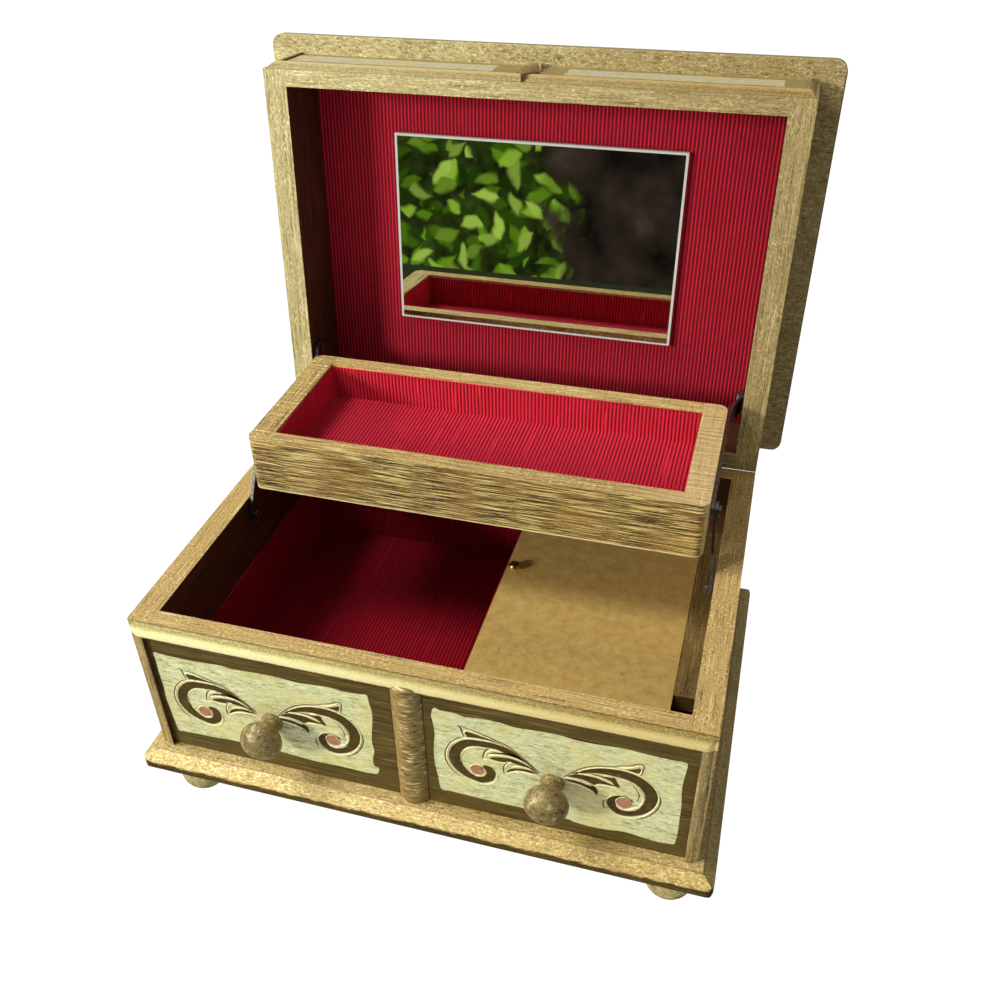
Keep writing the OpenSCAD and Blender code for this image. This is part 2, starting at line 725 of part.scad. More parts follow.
// Music movement
bed_screw_r = 1.1;
bed_top = floor_z + bed_t;
cyl_z = bed_top + cyl_rise;
module at_movement() translate([move_x, move_y, 0]) children();
module bed_screw_places(z) {
    for (p = [[bed_x[0] + 3.5, bed_y[1] - 3.5], [bed_x[1] - 3.5, bed_y[1] - 3.5],
              [bed_x[0] + 3.5, bed_y[0] + 3.5]])
        translate([move_x + p[0], move_y + p[1], z]) children();
}
comb_y = cyl_r + 0.5;
comb_l = 16;
comb_t = 1.6;
comb_seat = 10;
module comb_screw_places() {
    for (x = [-cyl_l / 4, cyl_l / 4]) translate([x, comb_y + comb_l - 4.5, 0]) children();
}
module movement_bed() {
    post_w = 9;
    color(BRASS) placed() difference() {
        at_movement() {
            translate([bed_x[0], bed_y[0], floor_z])
                cube([bed_x[1] - bed_x[0], bed_y[1] - bed_y[0], bed_t]);
            for (x = [-cyl_l / 2 - gap - post_t, cyl_l / 2 + gap])
                translate([x, -post_w / 2, floor_z]) cube([post_t, post_w, bed_t + cyl_rise + 4]);
            translate([-cyl_l / 2, comb_y + comb_l - comb_seat, floor_z])
                cube([cyl_l, comb_seat, bed_t + cyl_rise - comb_t / 2]);
        }
        at_movement() {
            side_pin(-cyl_l, cyl_l, [0, cyl_z], shaft_r + turn_fit);
            comb_screw_places() translate([0, 0, cyl_z - 6])
                cylinder(r = comb_screw_r + fit / 2, h = 8);
            translate([barrel_x, 0, floor_z - 1]) cylinder(r = arbor_r + turn_fit, h = bed_t + 2);
        }
        bed_screw_places(floor_z - 1) cylinder(r = bed_screw_r + fit / 2, h = bed_t + 2);
    }
}
module bed_screws() {
    color(STEEL) placed() bed_screw_places(bed_top)
        slotted_screw(2.2, 1.4, bed_screw_r, bed_t + bottom_t - 0.5);
}
module barrel_cover() {
    wall = 1;
    color(BRASS) placed() at_movement() translate([barrel_x, 0, bed_top]) difference() {
        cylinder(r = barrel_r, h = barrel_h);
        translate([0, 0, -1]) cylinder(r = barrel_r - wall, h = barrel_h - wall + 1);
        cylinder(r = arbor_r + turn_fit, h = barrel_h + 1);
    }
}
// Flat coil spring: one thin band on a steady spiral
module mainspring() {
    turns = 6;
    steps = 24;
    r_in = arbor_r + 0.8;
    r_out = barrel_r - 1.8;
    band = 0.35;
    spiral = function (i) r_in + (r_out - r_in) * i / (turns * steps);
    color(STEEL) placed() at_movement() translate([barrel_x, 0, bed_top])
        linear_extrude(barrel_h - 3)
            polygon(concat(
                [for (i = [0 : turns * steps]) let (a = 360 * i / steps)
                    spiral(i) * [cos(a), sin(a)]],
                [for (i = [turns * steps : -1 : 0]) let (a = 360 * i / steps)
                    (spiral(i) + band) * [cos(a), sin(a)]]));
}
module winding_arbor() {
    color(STEEL) placed() at_movement() translate([barrel_x, 0, 0]) {
        translate([0, 0, plinth_z - 6])
            cylinder(r = arbor_r, h = bed_top + barrel_h + 1 - plinth_z + 6);
    }
}
module winding_key() {
    stem_r = 4;
    stem_l = 6;
    wing_t = 2.2;
    wing_h = 10;
    top = plinth_z - 1;
    color(BRASS) placed() at_movement() translate([barrel_x, 0, 0]) difference() {
        union() {
            translate([0, 0, top - stem_l]) cylinder(r = stem_r, h = stem_l);
            intersection() {
                translate([-key_w / 2, -wing_t / 2, top - stem_l - wing_h])
                    cube([key_w, wing_t, wing_h + 1]);
                rotate([90, 0, 0]) linear_extrude(2 * wing_t, center = true)
                    for (x = [-1, 1]) translate([x * (key_w / 2 - wing_h / 2), top - stem_l - wing_h / 2]) {
                        circle(wing_h / 2);
                        translate([x > 0 ? -key_w / 2 : 0, -wing_h * 0.2]) square([key_w / 2, wing_h * 0.7]);
                    }
            }
        }
        translate([0, 0, top - 5]) cylinder(r = arbor_r + turn_fit / 2, h = 6);
        for (x = [-1, 1]) translate([x * (key_w / 2 - wing_h / 2), 0, top - stem_l - wing_h / 2])
            rotate([90, 0, 0]) cylinder(r = wing_h / 4, h = 2 * wing_t, center = true);
    }
}

// Spur wheel outline: straight-sided teeth, the first one centred at the angle start
module spur(teeth, start) {
    r = gear_module * teeth / 2;
    tip = r + 0.7 * gear_module;
    root = r - 1.1 * gear_module;
    half_root = 360 / teeth * 0.27;
    half_tip = 360 / teeth * 0.13;
    polygon([for (i = [0 : teeth - 1]) let (a = start + 360 * i / teeth)
        for (p = [[root, -half_root], [tip, -half_tip], [tip, half_tip], [root, half_root]])
            p[0] * [cos(a + p[1]), sin(a + p[1])]]);
}
shaft_r = 1.2;
module pinned_cylinder() {
    rows = comb_teeth;
    pitch = (cyl_l - 2) / rows;
    pin_l = 0.45;
    color(BRASS) placed() at_movement() translate([0, 0, cyl_z]) {
        rotate([0, 90, 0]) cylinder(r = cyl_r - pin_l, h = cyl_l, center = true);
        side_pin(-cyl_l / 2 - gap - post_t - 0.2, gear_x + gear_t, [0, 0], shaft_r);
        along_x(gear_x, gear_x + gear_t) spur(cyl_teeth, 180);
        for (i = [0 : rows - 1], j = [0 : 4])
            rotate([20 + 72 * j + (i * 137) % 52, 0, 0])
                translate([-cyl_l / 2 + 1 + pitch * (i + 0.5), 0, cyl_r - pin_l - 0.3])
                    cylinder(r = 0.2, h = pin_l + 0.2, $fn = 16);
    }
}
comb_screw_r = 1;
module comb() {
    pitch = (cyl_l - 2) / comb_teeth;
    color(STEEL) placed() at_movement() difference() {
        translate([-cyl_l / 2 + 0.6, comb_y, cyl_z - comb_t / 2]) cube([cyl_l - 1.2, comb_l, comb_t]);
        for (i = [1 : comb_teeth - 1])
            translate([-cyl_l / 2 + 1 + pitch * i - 0.15, comb_y - 1, cyl_z - comb_t])
                cube([0.3, comb_l - comb_seat + 0.6, 2 * comb_t]);
        comb_screw_places() translate([0, 0, cyl_z - comb_t])
            cylinder(r = comb_screw_r + fit / 2, h = 2 * comb_t);
    }
}
module comb_screws() {
    color(STEEL) placed() at_movement() comb_screw_places() translate([0, 0, cyl_z + comb_t / 2])
        slotted_screw(1.9, 1.2, comb_screw_r, comb_t + 4.5);
}
module governor_bracket() {
    cheek = 1.4;
    deep = 3.4;
    x0 = cheek_x;
    color(BRASS) placed() at_movement() difference() {
        union() {
            translate([x0, worm_y - deep, bed_top])
                cube([cheek, delay_y + deep - worm_y + deep, cyl_rise + 9]);
            for (z = [bed_top, cyl_z + 9 - cheek])
                translate([wheel_x - 2, worm_y - deep, z])
                    cube([x0 - wheel_x + 2 + cheek, 2 * deep - 0.8, cheek]);
            translate([gear_x - 2 - cheek, delay_y - deep, bed_top]) cube([cheek, 2 * deep, cyl_rise + 3]);
        }
        side_pin(gear_x - 6, x0 + 5, [delay_y, cyl_z], 0.6 + turn_fit);
        translate([wheel_x + gear_t / 2, worm_y, bed_top - 1])
            cylinder(r = 0.6 + turn_fit, h = cyl_rise + 12);
    }
}
module delay_wheel() {
    color(BRASS) placed() at_movement() translate([0, delay_y, cyl_z]) {
        side_pin(gear_x - 3.2, cheek_x + 1, [0, 0], 0.6);
        along_x(gear_x - gap / 2, gear_x + gear_t + gap / 2) spur(pinion_teeth, 180 / pinion_teeth);
        along_x(wheel_x, wheel_x + gear_t) worm_wheel();
    }
}
module worm_wheel() {
    tip = wheel_r - 0.25;
    half = 360 / wheel_teeth * 0.2;
    polygon([for (i = [0 : wheel_teeth - 1]) let (a = 360 * (i + 0.5) / wheel_teeth)
        for (p = [[tip - 0.7, -half * 1.3], [tip, -half * 0.6], [tip, half * 0.6], [tip - 0.7, half * 1.3]])
            p[0] * [cos(a + p[1]), sin(a + p[1])]]);
}
module governor_fan() {
    worm_l = 7;
    color(STEEL) placed() at_movement() translate([wheel_x + gear_t / 2, worm_y, 0]) {
        translate([0, 0, bed_top + 0.4]) cylinder(r = 0.6, h = cyl_rise + 8);
        translate([0, 0, cyl_z - worm_l / 2]) cylinder(r = worm_r - 0.5, h = worm_l);
        translate([0, 0, cyl_z - worm_l / 2])
            linear_extrude(worm_l, twist = -360 * worm_l / 6, slices = 28)
                for (i = [0 : worm_starts - 1]) rotate(360 * i / worm_starts)
                    translate([0, -0.25]) square([worm_r - 0.15, 0.5]);
        translate([-3, -0.2, bed_top + 2.2]) cube([6, 0.4, 3.6]);
    }
}

// Lid
module lid_shape() translate([0, 0, rim_gap]) mirror([0, 0, 1]) children();
rail_h = lid_h - rim_gap;
module lid_side() {
    difference() {
        lid_shape() side_wall(rail_h, lid_proud, lid_edge_set, lid_panel_set);
        side_pin(in_x - 1, in_x + side_t * 0.6, lid_pin, pivot_d / 2 + fit / 2);
    }
}
module lid_left_rail() color(GOLD) opened() mirror([1, 0, 0]) lid_side();
module lid_right_rail() color(GOLD) opened() lid_side();
module lid_front_rail() color(GOLD) opened() lid_shape()
    front_board(rail_h, lid_proud, lid_edge_set, lid_panel_set);
module lid_back_rail() {
    color(GOLD) opened() difference() {
        translate([-in_x, in_back, rim_gap]) cube([2 * in_x, back_t, rail_h]);
        both() hinge_notch();
    }
}
module lid_panel(x0) lid_shape() front_panel(rail_h, x0, lid_panel_set - lid_proud);
module lid_left_panel() {
    color(GREEN) opened() mirror([1, 0, 0]) lid_panel(lid_divider_w / 2 + seam - lid_divider_x);
}
module lid_right_panel() {
    color(GREEN) opened() lid_panel(lid_divider_w / 2 + seam + lid_divider_x);
}
// The lid's divider ends in a point near the rim
// Lozenge on the lid's front
module lid_divider() {
    tip = 0.6;
    half = lid_divider_w / 2;
    long = rail_h - 3 * tip;
    color(GOLD) opened() lid_shape() translate([lid_divider_x, 0, 0]) intersection() {
        divider_bar(rail_h, lid_divider_w, moulding_h - tip, lid_proud, lid_panel_set,
            lid_divider_out);
        rotate([90, 0, 0]) linear_extrude(8 * divider_w, center = true)
            polygon([[0, -tip], [half, -tip - long / 2], [0, -tip - long], [-half, -tip - long / 2]]);
    }
}
module lid_board() {
    w = case_w + 2 * lid_out_side;
    d = case_d + lid_out_front + lid_out_back;
    color(PALE_GOLD) opened() translate([0, -lid_out_front, lid_h]) difference() {
        intersection() {
            rounded_plate([w, d, lid_board_t], lid_corner);
            along_x(-w / 2, w / 2) board_edge(d, lid_out_front, lid_out_back);
            rotate([90, 0, 0]) mirror([0, 0, 1])
                linear_extrude(d)
                    translate([-w / 2, 0]) board_edge(w, lid_out_side, lid_out_side);
        }
        translate([field_margin - w / 2, field_margin, lid_board_t - field_t])
            cube([w - 2 * field_margin, d - 2 * field_margin, lid_board_t]);
    }
}
// Section of the top board: a bevel as wide as the overhang at each end
module board_edge(w, out_a, out_b) {
    ease = 0.5;
    polygon([[ease, 0], [0, ease], [0, lid_board_t - lid_bevel], [out_a, lid_board_t],
             [w - out_b, lid_board_t], [w, lid_board_t - lid_bevel], [w, ease], [w - ease, 0]]);
}
module lid_field() {
    w = case_w + 2 * lid_out_side - 2 * field_margin - 2 * seam;
    d = case_d + lid_out_front + lid_out_back - 2 * field_margin - 2 * seam;
    color(GREEN) opened()
        translate([-w / 2, field_margin + seam - lid_out_front, lid_h + lid_board_t - field_t])
            cube([w, d, field_t - 0.6]);
}
module lid_lining() {
    color(RED) opened() translate([-in_x, front_t, lid_h - lining_t])
        cube([2 * in_x, in_back - front_t, lining_t]);
}
module mirror_glass() {
    e = 0.3;
    color("LightCyan") opened() translate([0, front_t + mirror_gap, lid_h - lining_t - mirror_t])
        along_x(-mirror_w / 2, mirror_w / 2)
            polygon([[0, e], [e, 0], [mirror_h - e, 0], [mirror_h, e],
                     [mirror_h, mirror_t], [0, mirror_t]]);
}

// Tray
module tray_outline(x0, x1, y0, y1) {
    intersection() {
        translate([0, tray_y, tray_z]) rounded_plate([tray_w, tray_d, tray_h], tray_corner);
        translate([x0, tray_y + y0, tray_z - 1]) cube([x1 - x0, y1 - y0, tray_h + 2]);
    }
}
tray_in = tray_w / 2 - tray_side_t;
module tray_side() {
    difference() {
        tray_outline(tray_in, tray_w / 2 + 1, -1, tray_d + 1);
        for (t = [0.22, 0.56])
            side_pin(tray_w / 2 - 4, tray_w / 2 + 1, arm_pin + (lid_pin - arm_pin) * t, 1.2 + fit / 2);
    }
}
module tray_left_side() color(GOLD) lifted() mirror([1, 0, 0]) tray_side();
module tray_right_side() color(GOLD) lifted() tray_side();
module tray_front() color(GOLD) lifted() tray_outline(-tray_in, tray_in, -1, tray_front_t);
module tray_back() color(GOLD) lifted() tray_outline(-tray_in, tray_in, tray_d - tray_back_t, tray_d + 1);
module tray_floor() {
    color(GOLD) lifted()
        translate([-tray_in, tray_y + tray_front_t, tray_stand - tray_room - lining_t - tray_floor_t])
            cube([2 * tray_in, tray_d - tray_front_t - tray_back_t, tray_floor_t]);
}
module tray_lining() {
    d = tray_d - tray_front_t - tray_back_t;
    color(RED) lifted()
        translate([-tray_in, tray_y + tray_front_t, tray_stand - tray_room - lining_t]) difference() {
            cube([2 * tray_in, d, tray_room + lining_t - 1]);
            translate([lining_t, lining_t, lining_t])
                cube([2 * (tray_in - lining_t), d - 2 * lining_t, tray_room + 1]);
        }
}

left_wall();
right_wall();
front_wall();
back_wall();
bottom_board();
plinth();
left_front_panel();
right_front_panel();
front_divider();
left_knob();
right_knob();
front_left_foot();
front_right_foot();
back_left_foot();
back_right_foot();
partition();
left_lining();
right_lining();
cover_board();
cover_screws();
cover_strip();
case_hinge_leaves();
hinge_pins();
lid_hinge_leaves();
case_hinge_screws();
lid_hinge_screws();
wall_pivots();
movement_bed();
barrel_cover();
mainspring();
winding_arbor();
winding_key();
pinned_cylinder();
comb();
comb_screws();
bed_screws();
governor_bracket();
delay_wheel();
governor_fan();
lid_left_rail();
lid_right_rail();
lid_front_rail();
lid_back_rail();
lid_board();
lid_left_panel();
lid_right_panel();
lid_divider();
lid_field();
lid_lining();
mirror_glass();
lid_pivots();
tray_left_side();
tray_right_side();
tray_front();
tray_back();
tray_floor();
tray_lining();
tray_bars();
left_arm();
right_arm();
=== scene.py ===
import json
import math
import bpy
from mathutils import Matrix, Vector, noise
from mathutils.geometry import tessellate_polygon


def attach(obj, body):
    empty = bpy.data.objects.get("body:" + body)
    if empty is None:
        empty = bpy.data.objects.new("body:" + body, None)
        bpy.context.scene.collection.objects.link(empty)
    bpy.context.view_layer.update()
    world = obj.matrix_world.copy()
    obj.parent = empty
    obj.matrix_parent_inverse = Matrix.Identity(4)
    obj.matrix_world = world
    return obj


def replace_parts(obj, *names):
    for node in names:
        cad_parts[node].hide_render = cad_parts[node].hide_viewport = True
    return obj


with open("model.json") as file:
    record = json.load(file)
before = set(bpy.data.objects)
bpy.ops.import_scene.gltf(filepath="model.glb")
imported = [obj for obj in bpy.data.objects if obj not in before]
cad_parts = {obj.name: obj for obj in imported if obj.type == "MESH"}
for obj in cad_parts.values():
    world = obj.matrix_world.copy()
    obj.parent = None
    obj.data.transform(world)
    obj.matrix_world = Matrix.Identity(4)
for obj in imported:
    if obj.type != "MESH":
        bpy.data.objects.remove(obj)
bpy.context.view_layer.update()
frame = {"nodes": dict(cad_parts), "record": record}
nodes = frame["nodes"]

# Box lengths are in millimetres: y runs back from the case's front lip, z up from its rim.
# The frame's origin is on the table, at MID_Y.
MM = 0.001
PER_METRE = (1000, 1000, 1000)
MID_Y = 96.4002
TABLE = -100.6
FROM_FRAME = Vector((0, MID_Y, TABLE))
# The hinge pin at the rim's height, the opened lid's angle, and how far it carries the tray
PIN_Y = 157
OPEN = math.radians(94.5)
LIFT = Vector((0, 41.9894, 21.2146))


def swing(y, z, angle):
    """y and z after a turn about the lid's hinge pin."""
    c, s = math.cos(angle), math.sin(angle)
    y -= PIN_Y
    return PIN_Y + y * c - z * s, y * s + z * c


def at(x, y, z):
    """A point of the case in the frame, in metres."""
    return Vector((x, y - MID_Y, z - TABLE)) * MM


def lid_at(x, y, z):
    """A point of the shut lid, swung open with it."""
    return at(x, *swing(y, z, -OPEN))


def tray_at(x, y, z):
    """A point of the lowered tray, carried up with it."""
    return at(x, y + LIFT.y, z + LIFT.z)


PLACES = {"case": at, "lid": lid_at, "tray": tray_at}


def shut_box(node, body="case"):
    """Lowest and highest corner of a node in millimetres, with the lid shut and the tray lowered."""
    pts = []
    for v in nodes[node].data.vertices:
        p = v.co / MM + FROM_FRAME
        if body == "tray":
            p -= LIFT
        if body == "lid":
            p = Vector((p.x, *swing(p.y, p.z, OPEN)))
        pts.append(p)
    return (Vector([min(p[i] for p in pts) for i in range(3)]),
            Vector([max(p[i] for p in pts) for i in range(3)]))


# Camera fitted to the photo's edges: focal length and picture centre in the photo's pixels
PHOTO = 1000
FOCAL = 1021.698
CENTRE_X, CENTRE_Y = 483.577, 515.923
SENSOR = 36
RIGHT = Vector((0.9606212915, 0.2771546285, -0.0198001549))
DOWNWARD = Vector((0.1522592892, -0.5846609949, -0.7968617383))
AHEAD = Vector((-0.2324302973, 0.7624675947, -0.6038371667))

cam_data = bpy.data.cameras.new("camera")
cam = bpy.data.objects.new("camera", cam_data)
bpy.context.scene.collection.objects.link(cam)
cam.matrix_world = Matrix((RIGHT, -DOWNWARD, -AHEAD)).transposed().to_4x4()
cam.location = at(102.38, -232.2, 259.95)
cam_data.sensor_width = SENSOR
cam_data.lens = FOCAL / PHOTO * SENSOR
cam_data.shift_x = (PHOTO / 2 - CENTRE_X) / PHOTO
cam_data.shift_y = (CENTRE_Y - PHOTO / 2) / PHOTO
bpy.context.scene.camera = cam


def rgb(r, g, b):
    """Screen colour from 0 to 255 as the linear colour that the shader wants."""
    out = []
    for v in (r, g, b):
        v /= 255
        out.append(v / 12.92 if v <= 0.04045 else ((v + 0.055) / 1.055) ** 2.4)
    return tuple(out)


class Nodes:
    """A node material, with short calls for its nodes. at is a point's place in millimetres."""

    def __init__(self, name, shift=(0, 0, 0)):
        self.m = bpy.data.materials.new(name)
        self.m.use_nodes = True
        self.t = self.m.node_tree
        coords = self.node("ShaderNodeTexCoord")
        self.at = self.vec("MULTIPLY_ADD", coords.outputs["Object"], PER_METRE, tuple(shift))
        self.facing = coords.outputs["Normal"]

    def node(self, kind, **props):
        n = self.t.nodes.new(kind)
        for k, v in props.items():
            setattr(n, k, v)
        return n

    def put(self, value, socket):
        """Link an output to the socket, or set the socket's own value."""
        if isinstance(value, bpy.types.NodeSocket):
            self.t.links.new(value, socket)
        elif isinstance(value, tuple) and len(value) == 3 and len(socket.default_value) == 4:
            socket.default_value = (*value, 1)
        else:
            socket.default_value = value

    def vec(self, op, *args):
        n = self.node("ShaderNodeVectorMath", operation=op)
        for i, a in enumerate(args):
            self.put(a, n.inputs[i])
        return n.outputs["Value" if op == "DOT_PRODUCT" else "Vector"]

    def math(self, op, *args):
        n = self.node("ShaderNodeMath", operation=op)
        for i, a in enumerate(args):
            self.put(a, n.inputs[i])
        return n.outputs[0]

    def part(self, v):
        """The x, y and z of a vector."""
        n = self.node("ShaderNodeSeparateXYZ")
        self.put(v, n.inputs[0])
        return n.outputs

    def turn(self, v, angle, axis="X_AXIS", centre=(0, 0, 0)):
        n = self.node("ShaderNodeVectorRotate", rotation_type=axis)
        self.put(v, n.inputs["Vector"])
        self.put(centre, n.inputs["Center"])
        self.put(angle, n.inputs["Angle"])
        return n.outputs[0]

    def noise(self, scale=1.0, squeeze=(1, 1, 1), detail=2.0, rough=0.5, output=0):
        """Noise that is long where squeeze is small. At scale 1 it is about a millimetre wide."""
        n = self.node("ShaderNodeTexNoise")
        self.put(self.vec("MULTIPLY", self.at, squeeze), n.inputs["Vector"])
        self.put(scale, n.inputs["Scale"])
        self.put(detail, n.inputs["Detail"])
        self.put(rough, n.inputs["Roughness"])
        return n.outputs[output]

    def step(self, v, a, b):
        """A smooth step from 0 where v is a to 1 where it is b."""
        n = self.node("ShaderNodeMapRange", interpolation_type="SMOOTHSTEP")
        self.put(v, n.inputs[0])
        self.put(a, n.inputs[1])
        self.put(b, n.inputs[2])
        return n.outputs[0]

    def ramp(self, fac, *stops):
        n = self.node("ShaderNodeValToRGB")
        self.put(fac, n.inputs[0])
        e = n.color_ramp.elements
        while len(e) < len(stops):
            e.new(0.5)
        for el, (pos, col) in zip(e, stops):
            el.position = pos
            el.color = (*col, 1)
        return n.outputs[0]

    def mix(self, fac, a, b, blend="MIX"):
        n = self.node("ShaderNodeMix", data_type="RGBA", blend_type=blend)
        self.put(fac, n.inputs[0])
        self.put(a, n.inputs[6])
        self.put(b, n.inputs[7])
        return n.outputs[2]

    def over(self, c, mask, share, tone):
        """c with a tone laid over it where mask is 1, at a share of its strength."""
        return self.mix(self.math("MULTIPLY", mask, share), c, tone)


class Paint(Nodes):
    """Paint on a body. at and facing are those of the shut box with its tray lowered, at every pose."""

    # Painted shade darkens and warms the gilding from this x to that one, away from the light on the
    # left
    SHADE_X = (-90.0, 100.0)

    def __init__(self, name, body, rough, metal=0.0):
        super().__init__(name, FROM_FRAME - (LIFT if body == "tray" else Vector()))
        self.out = self.t.nodes["Principled BSDF"]
        self.put(rough, self.out.inputs["Roughness"])
        self.put(metal, self.out.inputs["Metallic"])
        if body == "lid":
            self.at = self.turn(self.at, OPEN, centre=(0, PIN_Y, 0))
            self.facing = self.turn(self.facing, OPEN)

    def face(self, direction, a=0.55, b=0.8):
        """1 where the surface faces the direction, 0 elsewhere."""
        return self.step(self.vec("DOT_PRODUCT", self.facing, direction), a, b)

    def lines(self, v, width):
        """Thin squiggly lines where a noise passes its middle value."""
        return self.step(self.math("ABSOLUTE", self.math("SUBTRACT", v, 0.5)), width, 0.0)

    def grain(self, tones, squeeze, scale=1.0, flecks=0.5):
        """Painted grain: streaks, and with flecks also pits of glaze and squiggles of rubbed gold."""
        dark, base, light = tones
        streak = self.noise(scale, squeeze, 5, 0.62)
        c = self.ramp(streak, (0.32, dark), (0.46, base), (0.56, base), (0.7, light))
        if flecks:
            short = tuple(0.4 + 0.5 * v for v in squeeze)
            small = self.noise(1.7, short, 2, 0.6)
            squiggle = self.step(small, 0.56, 0.66)
            pit = self.step(small, 0.45, 0.35)
            patch = self.step(self.noise(0.07), 0.25, 0.6)
            c = self.over(c, pit, 0.55, dark)
            c = self.over(c, self.math("MULTIPLY", squiggle, flecks), patch, light)
        return c, streak

    def shade_right(self, c, tint):
        """Painted shade: the gilding turns warmer and darker towards the right, away from the light on
        the left.
        """
        wear_and_shade = self.step(self.part(self.at)[0], *self.SHADE_X)
        return self.mix(wear_and_shade, c, self.mix(1.0, c, tint, "MULTIPLY"))

    def finish(self, c, height, mm, strength=0.6):
        """Set the colour and a bump of so many millimetres, and give the material."""
        self.put(c, self.out.inputs["Base Color"])
        n = self.node("ShaderNodeBump")
        self.put(height, n.inputs["Height"])
        self.put(mm * MM, n.inputs["Distance"])
        self.put(strength, n.inputs["Strength"])
        self.put(n.outputs[0], self.out.inputs["Normal"])
        return self.m


# Grain directions: the streaks are long where the number is small
ALONG_X = (0.05, 1.3, 1.3)
ALONG_Y = (1.3, 0.05, 1.3)
ALONG_Z = (1.3, 1.3, 0.05)

UP, DOWN = (0, 0, 1), (0, 0, -1)
FRONT, RIGHTWARD = (0, -1, 0), (1, 0, 0)
# For the back wall, which has its moulding paint out of sight on its underside only
UNDERSIDE = (0, 0, -2)
# Where the inner side of each wall faces
INNER = {"left": RIGHTWARD, "right": (-1, 0, 0), "front": (0, 1, 0), "back": FRONT}

# Paint tones: dark glaze, base, rubbed highlights
RIM = (rgb(120, 90, 42), rgb(204, 170, 102), rgb(255, 236, 166))
LID = (rgb(120, 104, 52), rgb(184, 170, 114), rgb(234, 224, 168))
SIDE = (rgb(60, 42, 18), rgb(130, 102, 50), rgb(188, 158, 92))
STILE = (rgb(80, 58, 26), rgb(160, 136, 82), rgb(226, 208, 150))
BARE = (rgb(34, 16, 8), rgb(84, 50, 26), rgb(120, 82, 44))
BROWN = (rgb(48, 36, 8), rgb(86, 68, 18), rgb(128, 106, 44))
OLIVE = (rgb(112, 92, 46), rgb(156, 134, 80), rgb(190, 168, 108))
PALE = (rgb(140, 138, 86), rgb(196, 198, 146), rgb(222, 226, 182))
STRIP = (rgb(150, 138, 100), rgb(200, 190, 156), rgb(224, 218, 186))
SPECKLE = (rgb(124, 94, 42), rgb(206, 180, 110), rgb(255, 240, 176))
COMB = (rgb(30, 17, 3), rgb(150, 118, 54), rgb(255, 234, 150))
DIVIDER = (rgb(50, 34, 10), rgb(138, 114, 60), rgb(236, 212, 146))
LOZENGE = (rgb(74, 52, 22), rgb(140, 112, 62), rgb(190, 164, 104))
KNOB = (rgb(70, 54, 26), rgb(142, 122, 76), rgb(214, 198, 146))
FOOT = (rgb(126, 104, 58), rgb(200, 180, 120), rgb(244, 232, 180))
CARVED = (rgb(42, 30, 4), rgb(74, 58, 14), rgb(112, 90, 34))
CREAM = (rgb(150, 130, 76), rgb(226, 214, 160), rgb(250, 242, 204))
LINE = (rgb(52, 38, 12), rgb(92, 72, 30), rgb(124, 100, 52))
EYE = (rgb(112, 68, 46), rgb(166, 112, 84), rgb(206, 156, 124))
STEEL = (0.36, 0.36, 0.37)
BRASS = (0.72, 0.50, 0.2)

# Tints of the painted shade on the gilding at its right end
LID_SHADE_TINT = (0.78, 0.69, 0.61)
MOULDING_SHADE_TINT = (0.78, 0.66, 0.5)
PLINTH_SHADE_TINT = (0.94, 0.9, 0.84)

# The carved moulding in front: its height, and its colours from the rim to its far edge, which paint
# its light and shade: painted shade in the groove under the rim, a painted highlight on its bevel and a
# painted shadow line under its lip
MOULDING_H = 7.8
MOULDING_SHADING = {
    "case": ((0.0, rgb(205, 174, 110)), (0.08, rgb(104, 80, 34)), (0.15, rgb(176, 154, 84)),
             (0.34, rgb(156, 144, 76)), (0.5, rgb(226, 218, 144)), (0.66, rgb(250, 243, 182)),
             (0.94, rgb(242, 232, 166)), (1.0, rgb(124, 104, 48))),
    "lid": ((0.0, rgb(196, 180, 116)), (0.1, rgb(120, 100, 48)), (0.2, rgb(165, 145, 88)),
            (0.4, rgb(150, 130, 76)), (0.52, rgb(196, 170, 100)), (0.7, rgb(236, 214, 142)),
            (0.92, rgb(206, 182, 110)), (1.0, rgb(84, 62, 24))),
}
LID_RIM_Z = 0.4


def wall(name, body, rim, inner, front=FRONT, grain=ALONG_X):
    """Carved board: tan rim, pale carved moulding in front with painted shade and highlights, brown
    sides, bare wood inside.
    """
    p = Paint(name, body, 0.48, 0.15)
    side, streak = p.grain(SIDE, grain)
    top, _ = p.grain(LID if body == "lid" else RIM, grain, 0.9, 0.9)
    bare, _ = p.grain(BARE, grain, 0.8, 0)
    z = p.part(p.at)[2]
    from_rim = p.math("MULTIPLY", z, -1.0) if body == "case" else p.math("SUBTRACT", z, LID_RIM_Z)
    wobble = p.math("MULTIPLY_ADD", p.noise(0.25), 0.8, -0.4)
    # Bands of painted shade and painted highlight across the moulding, from the rim outwards
    carved = p.ramp(p.math("DIVIDE", p.math("ADD", from_rim, wobble), MOULDING_H), *MOULDING_SHADING[body])
    speck = p.lines(p.noise(1.1, (0.5, 1.2, 1.2), 3, 0.6), 0.04)
    carved = p.over(carved, speck, 0.6, rgb(252, 244, 190))
    pit = p.step(p.noise(2.0, (0.6, 1, 1), 3, 0.7), 0.42, 0.28)
    carved = p.over(carved, pit, 0.7, rgb(128, 110, 54))
    # Painted shade darkens and warms the moulding towards the right
    carved = p.shade_right(carved, MOULDING_SHADE_TINT)
    stile, _ = p.grain(STILE, ALONG_Z)
    carved = p.mix(p.step(from_rim, MOULDING_H, MOULDING_H + 0.3), carved, stile)
    c = p.mix(p.face(front, 0.12, 0.3), side, carved)
    c = p.mix(p.face(inner), c, bare)
    # Painted shade darkens and warms the lid's rim towards the right
    if body == "lid":
        top = p.shade_right(top, LID_SHADE_TINT)
    c = p.mix(p.face(rim), c, top)
    height = p.math("ADD", streak, p.math("MULTIPLY", p.noise(2.2, detail=3), 0.8))
    return p.finish(c, height, 0.45)


